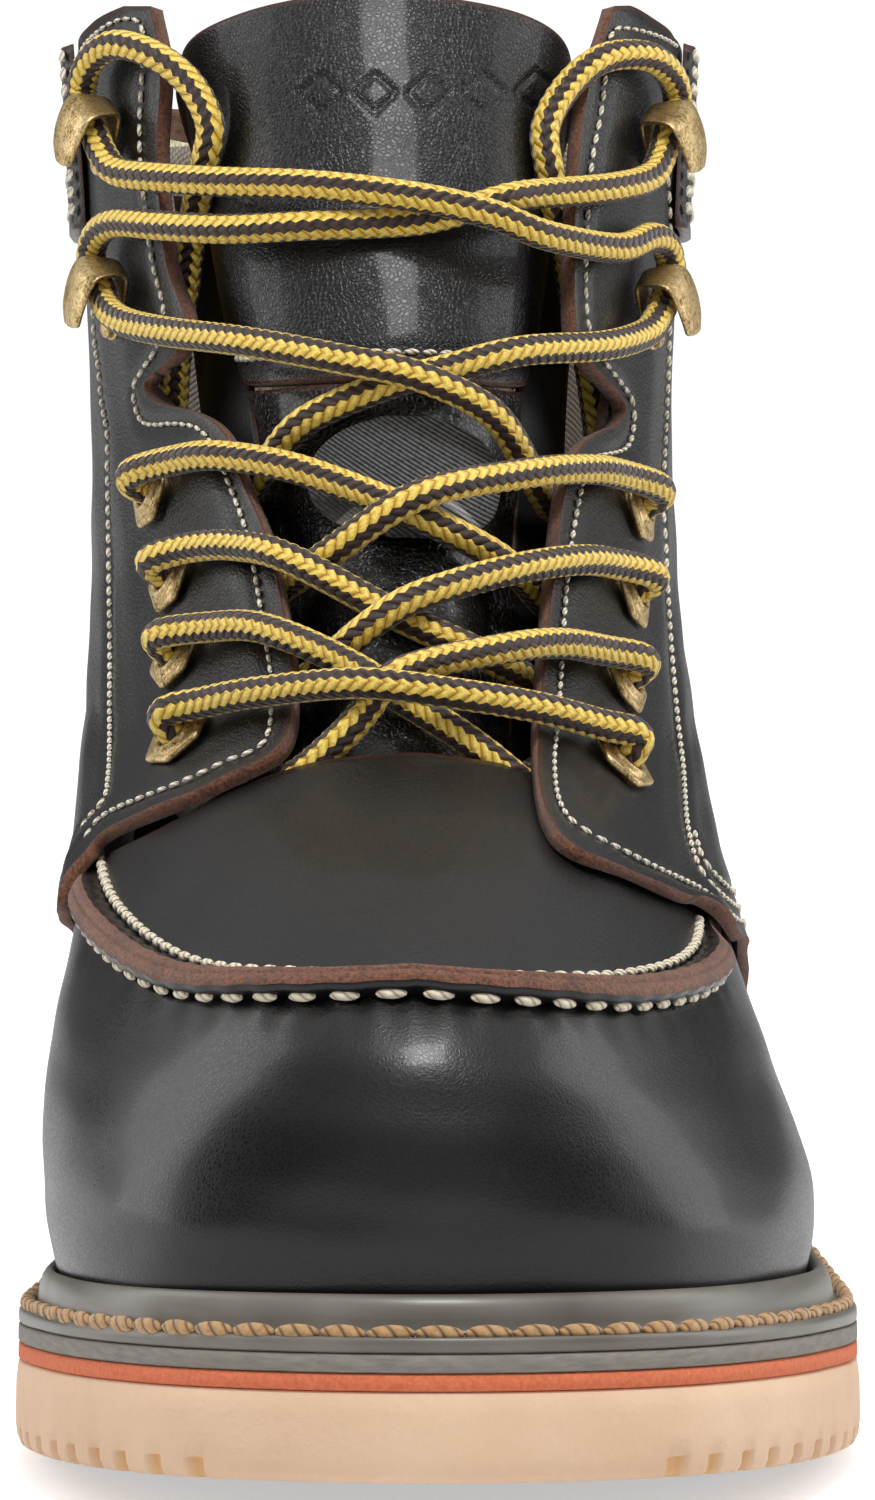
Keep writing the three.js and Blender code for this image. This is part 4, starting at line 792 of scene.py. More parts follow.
tan_board, tree, shader = finish("insole_board_leather", Roughness=0.85)
fibre = noise(tree, object_coords(tree), 500, 4)
set_shader(tree, shader, ramp(tree, fibre, (0.3, (0.30, 0.17, 0.08)), (0.7, (0.45, 0.29, 0.15))),
           None, fibre, 0.0002)
cork, tree, shader = finish("cork_granules", Roughness=0.9)
grains = add(tree, "ShaderNodeTexVoronoi", {"Vector": object_coords(tree), "Scale": 420})
cork_tone = add(tree, "ShaderNodeSeparateColor", {"Color": grains.outputs["Color"]}).outputs[0]
set_shader(tree, shader, ramp(tree, cork_tone, (0.1, (0.20, 0.10, 0.04)), (0.8, (0.50, 0.31, 0.15))),
           None, grains.outputs["Distance"], 0.0004)
pressed_steel, tree, shader = finish("pressed_steel", Metallic=1.0)
drawn = noise(tree, object_coords(tree, (1, 30, 1)), 60, 4)
set_shader(tree, shader, ramp(tree, drawn, (0.3, (0.36, 0.36, 0.37)), (0.7, (0.52, 0.52, 0.54))),
           span(tree, drawn, 0.3, 0.7, 0.3, 0.5), drawn, 0.00005)
recoat(tan_board, "insole_board")
recoat(cork, "cork_filler")
recoat(pressed_steel, "steel_shank", "steel_toe_cap")

footbed_cloth, tree, shader = finish("footbed_cloth", Roughness=0.9, Sheen_Weight=0.3)
coords = object_coords(tree)
knit = add(tree, "ShaderNodeTexVoronoi", {"Vector": coords, "Scale": 900}).outputs["Distance"]
vents = add(tree, "ShaderNodeTexVoronoi", {"Vector": coords, "Scale": 110, "Randomness": 0.0})
vent = span(tree, vents.outputs["Distance"], 0.13, 0.17)
# Painted shade: the knit ramp is darker where its bump sinks, and the vents are painted near black for the
# shade in their holes.
cloth = ramp(tree, knit, (0.0, (0.030, 0.029, 0.028)), (1.0, (0.085, 0.080, 0.075)))
set_shader(tree, shader, mixed(tree, vent, (0.006, 0.006, 0.006), cloth), None,
           calc(tree, "MULTIPLY_ADD", knit, 0.3, vent), 0.0005)


def footbed_ring(inset, height):
    """A ring inside the shaft's foot at a height, in mm, over the sole's upper face."""
    turns = np.linspace(-1, 1, 160, endpoint=False)
    ring = place(turns, 0.3, -8.0 - inset)
    ring[:, 2] = sole_top(ring[:, 1]) + height * MM
    return ring


FOOTBED_EDGE = [(0.3, 3.5), (0, 4.2), (0, 6.4), (0.5, 7.6), (1.6, 8.1), (3.2, 8.0)]
footbed = tower("footbed_cushion", [footbed_ring(*edge) for edge in FOOTBED_EDGE], [footbed_cloth])
settle(footbed, "footbed")

# ---------------------------------------------------------------- vamp and apron
# Full-grain leather about 2 mm thick: the vamp is lasted over the steel cap and the apron
# is let into it by a raised moc seam, whose two cut edges stand up together.

LEATHER = 2.1
LEVEL_RUN = 0.18
SEAM_LATERAL = [3.2, 3.1, 3.0, 3.07, 3.42, 3.7, 3.8]
SEAM_MEDIAL = [3.2, 3.14, 3.12, 3.42, 3.74, 3.85, 3.9]
VAMP_HALF, PUCKER_PITCH, MOC_PITCH = 0.64, 0.0305, 5.9 * MM


def leather_group():
    """Shader group: pebbled grain, pores and thin creases from a place in space."""
    tree = bpy.data.node_groups.new("leather_skin", "ShaderNodeTree")
    face = tree.interface
    face.new_socket("Place", in_out="INPUT", socket_type="NodeSocketVector")
    for name in ("Cells", "Pebble", "Crease"):
        face.new_socket(name, in_out="INPUT", socket_type="NodeSocketFloat")
    for name in ("Height", "Tone", "Hollow"):
        face.new_socket(name, in_out="OUTPUT", socket_type="NodeSocketFloat")
    given = tree.nodes.new("NodeGroupInput").outputs
    wander = add(tree, "ShaderNodeTexNoise", {"Vector": given["Place"], "Scale": 260.0, "Detail": 2.0})
    warp = add(tree, "ShaderNodeVectorMath",
               {0: wander.outputs["Color"], 1: (0.0012, 0.0012, 0.0012)}, operation="MULTIPLY")
    bent = add(tree, "ShaderNodeVectorMath", {0: given["Place"], 1: warp.outputs[0]}, operation="ADD")
    cell = add(tree, "ShaderNodeTexVoronoi", {"Vector": bent.outputs[0], "Scale": given["Cells"]},
               feature="DISTANCE_TO_EDGE").outputs["Distance"]
    pebble = span(tree, cell, 0.0, 0.22)
    pores = noise(tree, given["Place"], 2600, 3, 0.6)
    folds = add(tree, "ShaderNodeTexNoise", {"Vector": given["Place"], "Scale": 95.0, "Detail": 5.0,
                                             "Roughness": 0.62, "Distortion": 1.4}).outputs["Fac"]
    near = calc(tree, "ABSOLUTE", calc(tree, "SUBTRACT", folds, 0.5))
    fold = span(tree, near, 0.0, 0.035, 1.0, 0.0)
    patchy = noise(tree, given["Place"], 55, 3)
    fold = calc(tree, "MULTIPLY", fold, span(tree, patchy, 0.45, 0.62))
    height = calc(tree, "MULTIPLY_ADD", pebble, given["Pebble"], calc(tree, "MULTIPLY", pores, 0.6))
    height = calc(tree, "SUBTRACT", height, calc(tree, "MULTIPLY", fold, given["Crease"]))
    result = tree.nodes.new("NodeGroupOutput").inputs
    link_nodes(tree, (height, result["Height"]),
               (noise(tree, given["Place"], 22, 3), result["Tone"]),
               (calc(tree, "SUBTRACT", 1.0, pebble), result["Hollow"]))
    return tree


LEATHER_SKIN = leather_group()


def black_leather(name, cells, pebble, crease, gloss, depth=0.00012, coat=0.12):
    """Waxed black leather that pulls up warm brown at its edges."""
    material, tree, shader = finish(name, Coat_Weight=coat, Coat_Roughness=0.12,
                                    Specular_IOR_Level=0.34)
    skin_node = add(tree, "ShaderNodeGroup", node_tree=LEATHER_SKIN)
    tree.links.new(object_coords(tree), skin_node.inputs["Place"])
    for key, value in (("Cells", cells), ("Pebble", pebble), ("Crease", crease)):
        skin_node.inputs[key].default_value = value
    height, tone, hollow = (skin_node.outputs[k] for k in ("Height", "Tone", "Hollow"))
    colour = ramp(tree, tone, (0.3, (0.0022, 0.0021, 0.0026)), (0.7, (0.0062, 0.0052, 0.0054)))
    rim = add(tree, "ShaderNodeAttribute", attribute_name="rim").outputs["Fac"]
    burnt = span(tree, rim, 0.0011, 0.0001, 0.0, 0.8)
    colour = mixed(tree, burnt, colour, (0.055, 0.022, 0.012))
    rough = calc(tree, "MULTIPLY_ADD", tone, 0.22, gloss - 0.11)
    rough = calc(tree, "MULTIPLY_ADD", hollow, 0.12, rough)
    set_shader(tree, shader, colour, rough, height, depth, 0.8)
    return material


def raw_leather(name, dark, light, grain=1800):
    """Cut edge or flesh side: dyed brown fibres."""
    material, tree, shader = finish(name, Roughness=0.9, Sheen_Weight=0.15)
    coords = object_coords(tree)
    fibre = noise(tree, coords, grain, 4, 0.7)
    smear = noise(tree, coords, 160, 3)
    colour = ramp(tree, fibre, (0.32, dark), (0.62, light))
    colour = mixed(tree, span(tree, smear, 0.5, 0.75, 0, 0.6), colour, dark)
    set_shader(tree, shader, colour, None, fibre, 0.0004, 0.9)
    return material


cut_edge = raw_leather("cut_leather_edge", (0.035, 0.011, 0.005), (0.215, 0.080, 0.038))
flesh_side = raw_leather("leather_flesh_side", (0.060, 0.028, 0.015), (0.165, 0.085, 0.048), 900)
toe_leather = black_leather("toe_leather", 1500.0, 0.16, 0.12, 0.28, depth=0.00008)
apron_leather_skin = black_leather("apron_leather", 1300.0, 0.3, 0.35, 0.33)


def closed_panel(name, outer, inner, materials):
    """A closed shell from two grids of points.

    Its materials are for the outside, the cut rim, the inside and, if there are four, its sides.
    """
    rows, cols = outer.shape[:2]
    count = rows * cols
    ids = np.arange(count).reshape(rows, cols)
    front = np.stack([ids[:-1, :-1], ids[:-1, 1:], ids[1:, 1:], ids[1:, :-1]], -1).reshape(-1, 4)
    ring = np.concatenate([ids[0, :-1], ids[:-1, -1], ids[-1, :0:-1], ids[:0:-1, 0]])
    after = np.roll(ring, -1)
    rim = np.stack([ring + count, after + count, after, ring], -1)
    faces = np.concatenate([front, front[:, ::-1] + count, rim])
    normals = np.cross(outer[:-1, 1:] - outer[:-1, :-1], outer[1:, :-1] - outer[:-1, :-1])
    if np.einsum("ijk,ijk->", normals, (outer - inner)[:-1, :-1]) < 0:
        faces = faces[:, ::-1]
    across = np.zeros((rows, cols))
    across[:, 1:] = np.cumsum(np.linalg.norm(np.diff(outer, axis=1), axis=-1), axis=1)
    up = np.zeros((rows, cols))
    up[1:] = np.cumsum(np.linalg.norm(np.diff(outer, axis=0), axis=-1), axis=0)
    to_rim = np.minimum(np.minimum(across, across[:, -1:] - across), np.minimum(up, up[-1:] - up))
    slots = np.repeat([0, 2, 1], [len(front), len(front), len(ring)])
    if len(materials) == 4:
        at_sides = np.repeat([False, True] * 2, [cols - 1, rows - 1] * 2)
        slots[-len(ring):][at_sides] = 3
    uv = np.stack([across, up], -1).reshape(-1, 2)
    return mesh_piece(name, np.concatenate([outer.reshape(-1, 3), inner.reshape(-1, 3)]), faces,
                      materials, np.minimum(slots, len(materials) - 1), np.concatenate([uv, uv]),
                      {"rim": np.tile(to_rim.ravel(), 2)})


def even_places(pairs):
    """A smooth run through [turn, level] places, in steps of about the same length."""
    flat = np.column_stack([np.array(pairs), np.zeros(len(pairs))])
    fine = spaced(flat * [1, LEVEL_RUN, 0], 0.004)
    return fine[:, 0], fine[:, 1] / LEVEL_RUN


def skin_line(pairs, offset, step, side=1):
    """A line over the skin through [turn, level] places, with the outward direction along it."""
    turn, level = even_places(pairs)
    turn = turn * side
    points = place(turn, level, offset)
    run = np.concatenate([[0], np.cumsum(np.linalg.norm(np.diff(points, axis=0), axis=1))])
    stops = np.linspace(0, run[-1], max(int(run[-1] / step), 2))
    turn, level = np.interp(stops, run, turn), np.interp(stops, run, level)
    return place(turn, level, offset), skin_normal(turn, level)


def sunk(points, lines, depth, width):
    """How far, in mm, thread pulls the leather down at each point."""
    flat = points.reshape(-1, 3)
    lines = np.concatenate(lines)
    nearest = np.full(len(flat), 1.0)
    for start in range(0, len(lines), 200):
        gap = np.linalg.norm(flat[:, None] - lines[None, start:start + 200], axis=-1).min(1)
        nearest = np.minimum(nearest, gap)
    return (depth * np.exp(-(nearest / width) ** 2)).reshape(points.shape[:2])


def seam_level(turn):
    """Level of the moc seam, from its values at every tenth of the half-turn."""
    lateral, medial = (open_spline(levels, np.abs(turn.ravel()) * 10).reshape(turn.shape)
                       for levels in (SEAM_LATERAL, SEAM_MEDIAL))
    return np.where(turn < 0, medial, lateral)


def ripple(turn, level, reach):
    """Slow unevenness of leather pulled over a last, in mm."""
    return reach * (0.5 * np.sin(turn * 31 + level * 2.3) * np.sin(level * 3.7 - turn * 9)
                    + 0.3 * np.sin(turn * 67 - level * 5.1 + 1.3) + 0.2 * np.sin(level * 11 + turn * 23))


def puckered_seam(turn, below, width):
    """Small pleats, from -1 to 1, that fade away from the moc seam."""
    return np.exp(-(below / width) ** 2) * np.cos(turn * 2 * np.pi / PUCKER_PITCH)


share, height = np.meshgrid(np.linspace(0, 1, 261), np.linspace(0, 1, 60))
vamp_turn = -VAMP_HALF + 2 * VAMP_HALF * share
seam = seam_level(vamp_turn)
vamp_level = 0.02 + (seam - 0.04) * height
pucker = puckered_seam(vamp_turn, seam - vamp_level, 0.28)
ease = smooth(np.abs(vamp_turn), 0.36, 0.3)
vamp_outer = ripple(vamp_turn, vamp_level, 0.18) + 0.2 * pucker * ease
vamp = closed_panel("vamp_leather", place(vamp_turn, vamp_level, vamp_outer),
                    place(vamp_turn, vamp_level, -LEATHER), [toe_leather, cut_edge, flesh_side])

apron_across, apron_up = np.meshgrid(np.linspace(-1, 1, 121), np.linspace(0, 1, 70) ** 1.15)
half = lookup([(0.49, 0.43), (0.76, 0.36), (0.92, 0.27), (1.0, 0.2)], apron_up)
apron_turn = apron_across * half
apron_low = seam_level(apron_turn) + 0.02
apron_level = apron_low + (5.04 - 8 * apron_turn ** 2 - apron_low) * apron_up
apron_outer = ripple(apron_turn, apron_level, 0.25)
apron_outer += 0.12 * puckered_seam(apron_turn, apron_level - apron_low, 0.2)
apron = closed_panel("apron_leather", place(apron_turn, apron_level, apron_outer),
                     place(apron_turn, apron_level, -LEATHER),
                     [apron_leather_skin, cut_edge, flesh_side])

# The seam's ridge: both edges turned up, black on each face and cut brown on top.
RIDGE = np.array([(-2.7, -0.6), (-2.3, 0.6), (-1.8, 1.7), (-1.35, 2.7), (-0.85, 3.15),
                  (0.0, 3.3), (0.25, 3.1), (0.5, 3.3), (1.5, 3.15), (2.1, 2.8),
                  (2.45, 2.1), (2.3, 1.3), (1.9, 0.6), (1.8, -0.6)])
RIDGE_TOP = range(3, 9)
ridge_turn = np.linspace(-0.425, 0.405, 420)
ridge_middle = place(ridge_turn, seam_level(ridge_turn), 0)
ridge_up = skin_normal(ridge_turn, seam_level(ridge_turn))
ridge_along = unit(np.gradient(ridge_middle, axis=0))
ridge_out = unit(np.cross(ridge_along, ridge_up))
tall = 0.12 + 0.88 * np.where(ridge_turn < 0, smooth(-ridge_turn, 0.40, 0.345),
                              smooth(ridge_turn, 0.37, 0.315))
ridge_run = np.cumsum(np.linalg.norm(np.gradient(ridge_middle, axis=0), axis=1))
pulled = 1 + 0.05 * np.cos(ridge_run * 2 * np.pi / MOC_PITCH)
profile_out = RIDGE[:, 0][None] * MM * pulled[:, None]
profile_up = RIDGE[:, 1][None] * MM
profile_up = np.where(profile_up > 0, profile_up * tall[:, None], profile_up)
ridge_rings = (ridge_middle[:, None] + profile_out[..., None] * ridge_out[:, None]
               + profile_up[..., None] * ridge_up[:, None])
steps, corners = ridge_rings.shape[:2]
ridge_faces = np.roll(lofted(steps, corners)[:, ::-1], 1, axis=1).tolist()
ridge_faces += [cap[::-1] for cap in end_caps(steps, corners)]
on_top = np.tile([k in RIDGE_TOP for k in range(corners)], steps - 1)
ridge = mesh_piece("moc_seam_ridge", ridge_rings.reshape(-1, 3), ridge_faces, [toe_leather, cut_edge],
                   np.concatenate([on_top.astype(int), [0, 0]]),
                   values={"rim": np.full(steps * corners, 0.01)})
settle(vamp, "vamp")
settle(apron, "apron")
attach(ridge, "root")

# The ridge's stitches: thick waxed cream thread through both edges, seen on each face.
cream_thread = thread("cream_thread", (0.78, 0.70, 0.54), (0.33, 0.25, 0.14), 3.0)


def ridge_line(out, up, lean, low, high):
    """A line beside the ridge, out and up in mm, between two turns."""
    kept = (ridge_turn > low) & (ridge_turn < high)
    points = ridge_middle + ridge_out * out * MM + ridge_up * (up * MM * tall)[:, None]
    return points[kept], unit(ridge_out * lean + ridge_up * 0.4)[kept]


stitched("moc_stitches", [ridge_line(2.35, 0.9, 1, -0.4, 0.36)], MOC_PITCH, 4.1 * MM,
         1.4 * MM, 1.3 * MM, cream_thread, 0.08, 5)
stitched("moc_inner_stitches", [ridge_line(-3.3, 0.35, -0.3, -0.39, 0.35)], 3.5 * MM, 2.8 * MM,
         1.5 * MM, 1.2 * MM, cream_thread, 0.1, 6)

# ---------------------------------------------------------------- quarters
# The two sides of the shaft: lightly pebbled leather cut with a raw brown edge, from the
# sole up the facing to the top line, where the facing carries two rows of stitching.

QUARTER_IN, QUARTER_OUT = 0.9, 2.6
FRONT_EDGE = {
    "medial": [[0.6, 0.05], [0.57, 1.0], [0.5, 2.45], [0.425, 3.13], [0.375, 3.38], [0.355, 3.81],
               [0.33, 4.12], [0.205, 4.67], [0.132, 4.97], [0.12, 5.35], [0.127, 5.71], [0.145, 6.11],
               [0.172, 6.36], [0.193, 6.56], [0.235, 6.65], [0.31, 6.69], [0.328, 6.76], [0.26, 6.88],
               [0.242, 7.0], [0.268, 7.2], [0.268, 7.5], [0.25, 7.76], [0.258, 7.95]],
    "lateral": [[0.6, 0.05], [0.57, 1.0], [0.5, 2.3], [0.435, 2.87], [0.38, 3.12], [0.335, 3.51],
                [0.302, 3.62], [0.233, 3.9], [0.162, 4.14], [0.138, 4.4], [0.138, 4.8], [0.15, 5.26],
                [0.175, 5.85], [0.198, 6.25], [0.223, 6.46], [0.262, 6.55], [0.325, 6.6], [0.335, 6.68],
                [0.252, 6.85], [0.228, 6.98], [0.228, 7.44], [0.24, 7.7], [0.275, 7.92]],
}
TOP_EDGE = [(0.2, 7.93), (0.3, 7.96), (0.45, 7.9), (0.6, 7.82), (0.8, 7.72), (1.0, 7.68)]
SIDES = {"medial": -1, "lateral": 1}
# Rows of thread as [turn, level]: beside the facing's edge, then the outer rows.
FACING_ROWS = {
    "medial": [
        [[0.44, 7.86], [0.375, 7.89], [0.31, 7.92], [0.277, 7.9], [0.277, 7.8], [0.297, 7.52], [0.295, 7.22],
         [0.28, 7.03], [0.297, 6.9], [0.335, 6.8], [0.357, 6.72], [0.34, 6.6], [0.27, 6.6], [0.233, 6.58],
         [0.21, 6.5], [0.193, 6.36], [0.17, 6.11], [0.155, 5.72], [0.145, 5.34], [0.152, 4.98],
         [0.2, 4.8], [0.24, 4.64], [0.34, 4.24], [0.372, 3.98], [0.38, 3.7], [0.395, 3.46], [0.437, 3.2],
         [0.512, 2.5], [0.585, 1.05], [0.61, 0.5]],
        [[0.462, 7.24], [0.48, 6.92], [0.462, 6.77], [0.453, 6.63], [0.435, 6.5], [0.437, 6.3], [0.43, 5.8],
         [0.41, 5.3], [0.39, 4.9], [0.365, 4.5], [0.36, 4.3], [0.39, 4.02], [0.398, 3.75], [0.412, 3.52],
         [0.452, 3.26], [0.527, 2.55], [0.6, 1.1], [0.625, 0.5]],
    ],
    "lateral": [
        [[0.44, 7.88], [0.292, 7.89], [0.272, 7.84], [0.263, 7.64], [0.25, 7.44], [0.25, 7.05], [0.275, 6.88],
         [0.35, 6.7], [0.36, 6.6], [0.34, 6.49], [0.265, 6.46], [0.245, 6.39], [0.225, 6.24], [0.2, 5.9],
         [0.177, 5.3], [0.158, 4.8], [0.158, 4.45], [0.185, 4.24], [0.25, 3.98], [0.315, 3.72],
         [0.348, 3.55], [0.395, 3.2], [0.448, 2.94], [0.513, 2.35], [0.585, 1.05], [0.61, 0.5]],
        [[0.433, 7.5], [0.468, 7.25], [0.478, 6.83], [0.455, 6.43], [0.44, 6.17], [0.443, 5.89],
         [0.433, 5.39], [0.42, 4.9], [0.407, 4.45], [0.37, 4.0], [0.364, 3.64], [0.41, 3.27], [0.462, 3.0],
         [0.528, 2.4], [0.6, 1.1], [0.625, 0.5]],
        [[0.385, 3.95], [0.383, 3.7], [0.426, 3.34], [0.477, 3.06], [0.543, 2.45], [0.615, 1.15],
         [0.64, 0.5]],
    ],
}


def top_level(turn):
    """Level of the top line at a turn, the same on both sides."""
    return lookup(TOP_EDGE, 1 - np.abs(1 - np.abs(turn)))


def seam_lift(turn, level, sign):
    """The quarter rides up, in mm, over the end of the moc seam's ridge."""
    seam = seam_level(sign * turn)
    fade = smooth(turn, 0.43, 0.37) if sign < 0 else smooth(turn, 0.4, 0.33)
    return 1.7 * fade * np.exp(-((level - seam) / 0.3) ** 2)


def quarter_inner(turn, level, sign):
    """The flesh side; the leather is left at its full thickness beside the facing's edge."""
    edge = np.exp(-((turn - turn[:, :1]) / 0.03) ** 2) * smooth(level, 3.9, 4.4)
    return QUARTER_IN - 0.5 * edge + 0.6 * seam_lift(turn, level, sign)


def quarter_grid(side, columns=110, per_row=8):
    """Turn and level of the quarter's grid: rows follow the front edge, columns run to the heel."""
    edge = np.array(FRONT_EDGE[side])
    last = len(edge) - 1
    row = np.linspace(0, last, last * per_row + 1)
    share = np.linspace(0, 1, columns + 1) ** 1.25
    front = open_spline(edge, row)
    turn = front[:, :1] + (0.998 - front[:, :1]) * share
    back = 0.05 + 7.63 * row / last
    level = front[:, 1:] + (back[:, None] - front[:, 1:]) * share
    straight_top = edge[-1, 1] + (7.68 - edge[-1, 1]) * share
    level += (top_level(turn) - straight_top) * np.clip(row - last + 1, 0, 1)[:, None] ** 2
    return turn, level


side_leather = black_leather("shaft_leather", 1250.0, 0.42, 0.5, 0.34)
fine_thread = thread("facing_thread", (0.82, 0.76, 0.62), (0.40, 0.32, 0.20), 2.0)
FINE_STITCH = (2.45 * MM, 1.85 * MM, 0.62 * MM, 0.75 * MM, fine_thread, 0.1)
LINE_STEP = 0.6 * MM
facing_lines = []
for side, sign in SIDES.items():
    rows_of_thread = [skin_line(row, QUARTER_OUT - 0.05, LINE_STEP, sign) for row in FACING_ROWS[side]]
    turn, level = quarter_grid(side)
    outer = QUARTER_OUT + ripple(turn + 0.3 * sign, level, 0.3) + seam_lift(turn, level, sign)
    flat = place(turn * sign, level, QUARTER_OUT)
    outer -= sunk(flat, [p[::2] for p, _ in rows_of_thread], 0.42, 1.3 * MM)
    quarter = closed_panel(f"quarter_leather_{side}", place(turn * sign, level, outer),
                           place(turn * sign, level, quarter_inner(turn, level, sign)),
                           [side_leather, cut_edge, flesh_side])
    facing_lines += rows_of_thread
    settle(quarter, f"quarter_{side}")
stitched("facing_stitches", facing_lines, *FINE_STITCH, 11)
recoat(flesh_side, "facing_stay_medial", "facing_stay_lateral")
recoat(tan_board, "heel_counter")

# ---------------------------------------------------------------- collar band and back parts
# A separate band of smooth leather round the top line, a backstay over the back seam and a
# heel cover over the stiffener, each stitched down along its edges.

OVERLAY_IN, OVERLAY_OUT = 3.2, 4.9
BAND_FRONT, BAND_SKIVE, SKIVE_REACH = 0.46, 1.45, 0.007
COVER_HALF, BACKSTAY_HALF = 0.18, 0.035


def overlay(name, node, turn, level, rows, skive=0.0):
    """A leather part laid over the quarters, with rows of thread along its edges."""
    outer = OVERLAY_OUT + ripple(turn, level, 0.25) - skive
    lines = [skin_line(row, OVERLAY_OUT - 0.05, LINE_STEP) for row in rows]
    outer -= sunk(place(turn, level, OVERLAY_OUT), [p[::2] for p, _ in lines], 0.4, 1.2 * MM)
    panel = closed_panel(name, place(turn, level, outer), place(turn, level, OVERLAY_IN),
                         [side_leather, side_leather, flesh_side])
    settle(panel, node)
    return lines


def edge_run(low_turn, high_turn, level_at):
    """Places along an edge whose level depends on the turn."""
    turns = np.linspace(low_turn, high_turn, 24)
    return np.column_stack([turns, level_at(turns)])


def band_low(turn):
    """Level of the collar band's lower edge."""
    return 7.0 + 0.3 * np.abs(turn - 1) / (1 - BAND_FRONT)


def unit_grid(columns, rows, low=0):
    """Two grids of shares: across from low to 1, and up from 0 to 1."""
    return np.meshgrid(np.linspace(low, 1, columns), np.linspace(0, 1, rows))


across, height = unit_grid(221, 22)
turn = BAND_FRONT + 2 * (1 - BAND_FRONT) * across
level = band_low(turn) + (top_level(1 - np.abs(turn - 1)) - band_low(turn)) * height
front_rows = [[[end + step * k, 7.36], [end + step * k, 7.6], [end + step * k, 7.86]]
              for end, step in ((0.468, 0.012), (1.532, -0.012)) for k in range(3)]
overlay_lines = overlay("collar_band_leather", "collar_band", turn, level,
                        front_rows + [edge_run(0.5, 1.5, lambda t: band_low(t) + 0.07),
                                      edge_run(0.5, 1.5, lambda t: band_low(t) + 0.19)],
                        BAND_SKIVE * np.exp(-((1 - BAND_FRONT - np.abs(turn - 1)) / SKIVE_REACH) ** 2))
across, height = unit_grid(90, 46)
turn = 1 - COVER_HALF + 2 * COVER_HALF * across


def cover_top(turn):
    """Level of the heel cover's curved upper edge."""
    return 3.0 - 22 * (turn - 1) ** 2


overlay_lines += overlay("heel_cover_leather", "heel_cover", turn, 0.06 + (cover_top(turn) - 0.06) * height,
                         [edge_run(0.835, 1.165, lambda t: cover_top(t) - inner) for inner in (0.1, 0.22)])
across, height = unit_grid(16, 90)
overlay_lines += overlay("backstay_leather", "backstay", 1 - BACKSTAY_HALF + 2 * BACKSTAY_HALF * across,
                         3.08 + 3.82 * height, [[[t, h] for h in (3.2, 5.0, 6.8)] for t in (0.973, 1.027)])
stitched("collar_and_heel_stitches", overlay_lines, *FINE_STITCH, 12)

# ---------------------------------------------------------------- linings and collar foam
# Tan textile linings glued and stitched inside the shaft and the toe, with a roll of foam
# between lining and leather round the top.

lining_cloth, tree, shader = finish("lining_cloth", Roughness=0.95, Sheen_Weight=0.4)
u, v = uv_parts(tree)
YARN = 0.9 * MM
warp, weft = (calc(tree, "ABSOLUTE", calc(tree, "SINE", calc(tree, "MULTIPLY", way, math.pi / YARN)))
              for way in (u, v))
weave = calc(tree, "MULTIPLY", warp, weft)
fuzz = noise(tree, object_coords(tree), 900, 3)
# Painted shade: the weave ramp is darker between the yarns, where the bump sinks.
colour = ramp(tree, weave, (0.0, (0.13, 0.095, 0.062)), (0.8, (0.30, 0.235, 0.165)))
colour = mixed(tree, span(tree, fuzz, 0.4, 0.75, 0, 0.5), colour, (0.16, 0.12, 0.085))
set_shader(tree, shader, colour, None, calc(tree, "ADD", weave, fuzz), 0.0003)
foam, tree, shader = finish("open_foam", Roughness=0.95, Subsurface_Weight=0.1,
                            Subsurface_Radius=(0.002, 0.002, 0.001))
cells = add(tree, "ShaderNodeTexVoronoi", {"Vector": object_coords(tree), "Scale": 1500})
cells = cells.outputs["Distance"]
# Painted shade: the foam is darker in the hollows of its cells, where the bump sinks.
set_shader(tree, shader, ramp(tree, cells, (0.1, (0.42, 0.36, 0.20)), (0.6, (0.70, 0.64, 0.44))),
           None, cells, 0.0004)


def cloth_panel(name, node, turn, level, inner, outer, material):
    panel = closed_panel(name, place(turn, level, outer), place(turn, level, inner), [material])
    settle(panel, node)
    return panel


across, height = unit_grid(60, 80)
lining_level = 0.25 + 7.3 * height
lining_front = lookup([(0.2, 0.6), (3.8, 0.6), (4.8, 0.5), (5.4, 0.46), (7.6, 0.46)], lining_level)
lining_turn = lining_front + (0.9995 - lining_front) * across
for side, sign in SIDES.items():
    cloth_panel(f"shaft_lining_{side}", f"lining_{side}", lining_turn * sign, lining_level, -4.9, -3.9,
                lining_cloth)
across, height = unit_grid(80, 60, -1)
toe_level = 0.3 + 4.3 * height
toe_half = lookup([(0, 0.57), (3.6, 0.57), (4.6, 0.38)], toe_level)
cloth_panel("toe_lining", "vamp_lining", across * toe_half, toe_level, -6.9, -5.9, lining_cloth)
across, height = unit_grid(160, 20)
turn = 0.58 + 0.84 * across
level = 6.2 + (top_level(1 - np.abs(turn - 1)) - 0.16 - 6.2) * height
swell = 0.5 * np.sin(np.pi * height) ** 0.5
collar = cloth_panel("collar_foam", "collar_padding", turn, level, -3.3 + 0.3 * swell, -1.3 + 0.6 * swell,
                     foam)

# ---------------------------------------------------------------- tongue
# Two panels of leather, the lower one strongly pebbled, over foam and a textile lining. It
# is sewn down at the throat and tips back into the shaft from there.

TONGUE_BODY = "tongue"
TONGUE_HALF = [(4.9, 0.15), (5.6, 0.2), (6.6, 0.235), (7.4, 0.27), (8.0, 0.28)]
TONGUE_START, TONGUE_PANEL, TONGUE_TOP = 4.92, 6.82, 7.97


def blurred(pairs, level, reach=0.25):
    """The piecewise value, rounded off over a reach of levels."""
    return sum(lookup(pairs, level + reach * k) for k in (-1, -0.5, 0, 0.5, 1)) / 5


def tongue_offset(turn, level):
    """How far off the skin, in mm, the tongue's middle surface lies."""
    crown = blurred([(5, -2.9), (5.4, -1.8), (6.7, -1.2), (7, 0.8), (8, 1.2)], level)
    reach = np.minimum(np.abs(turn) / lookup([(5, 0.12), (6, 0.14), (7, 0.22), (8, 0.24)], level), 1.3)
    return np.maximum(crown - 4.6 * reach ** 2, -7.4)


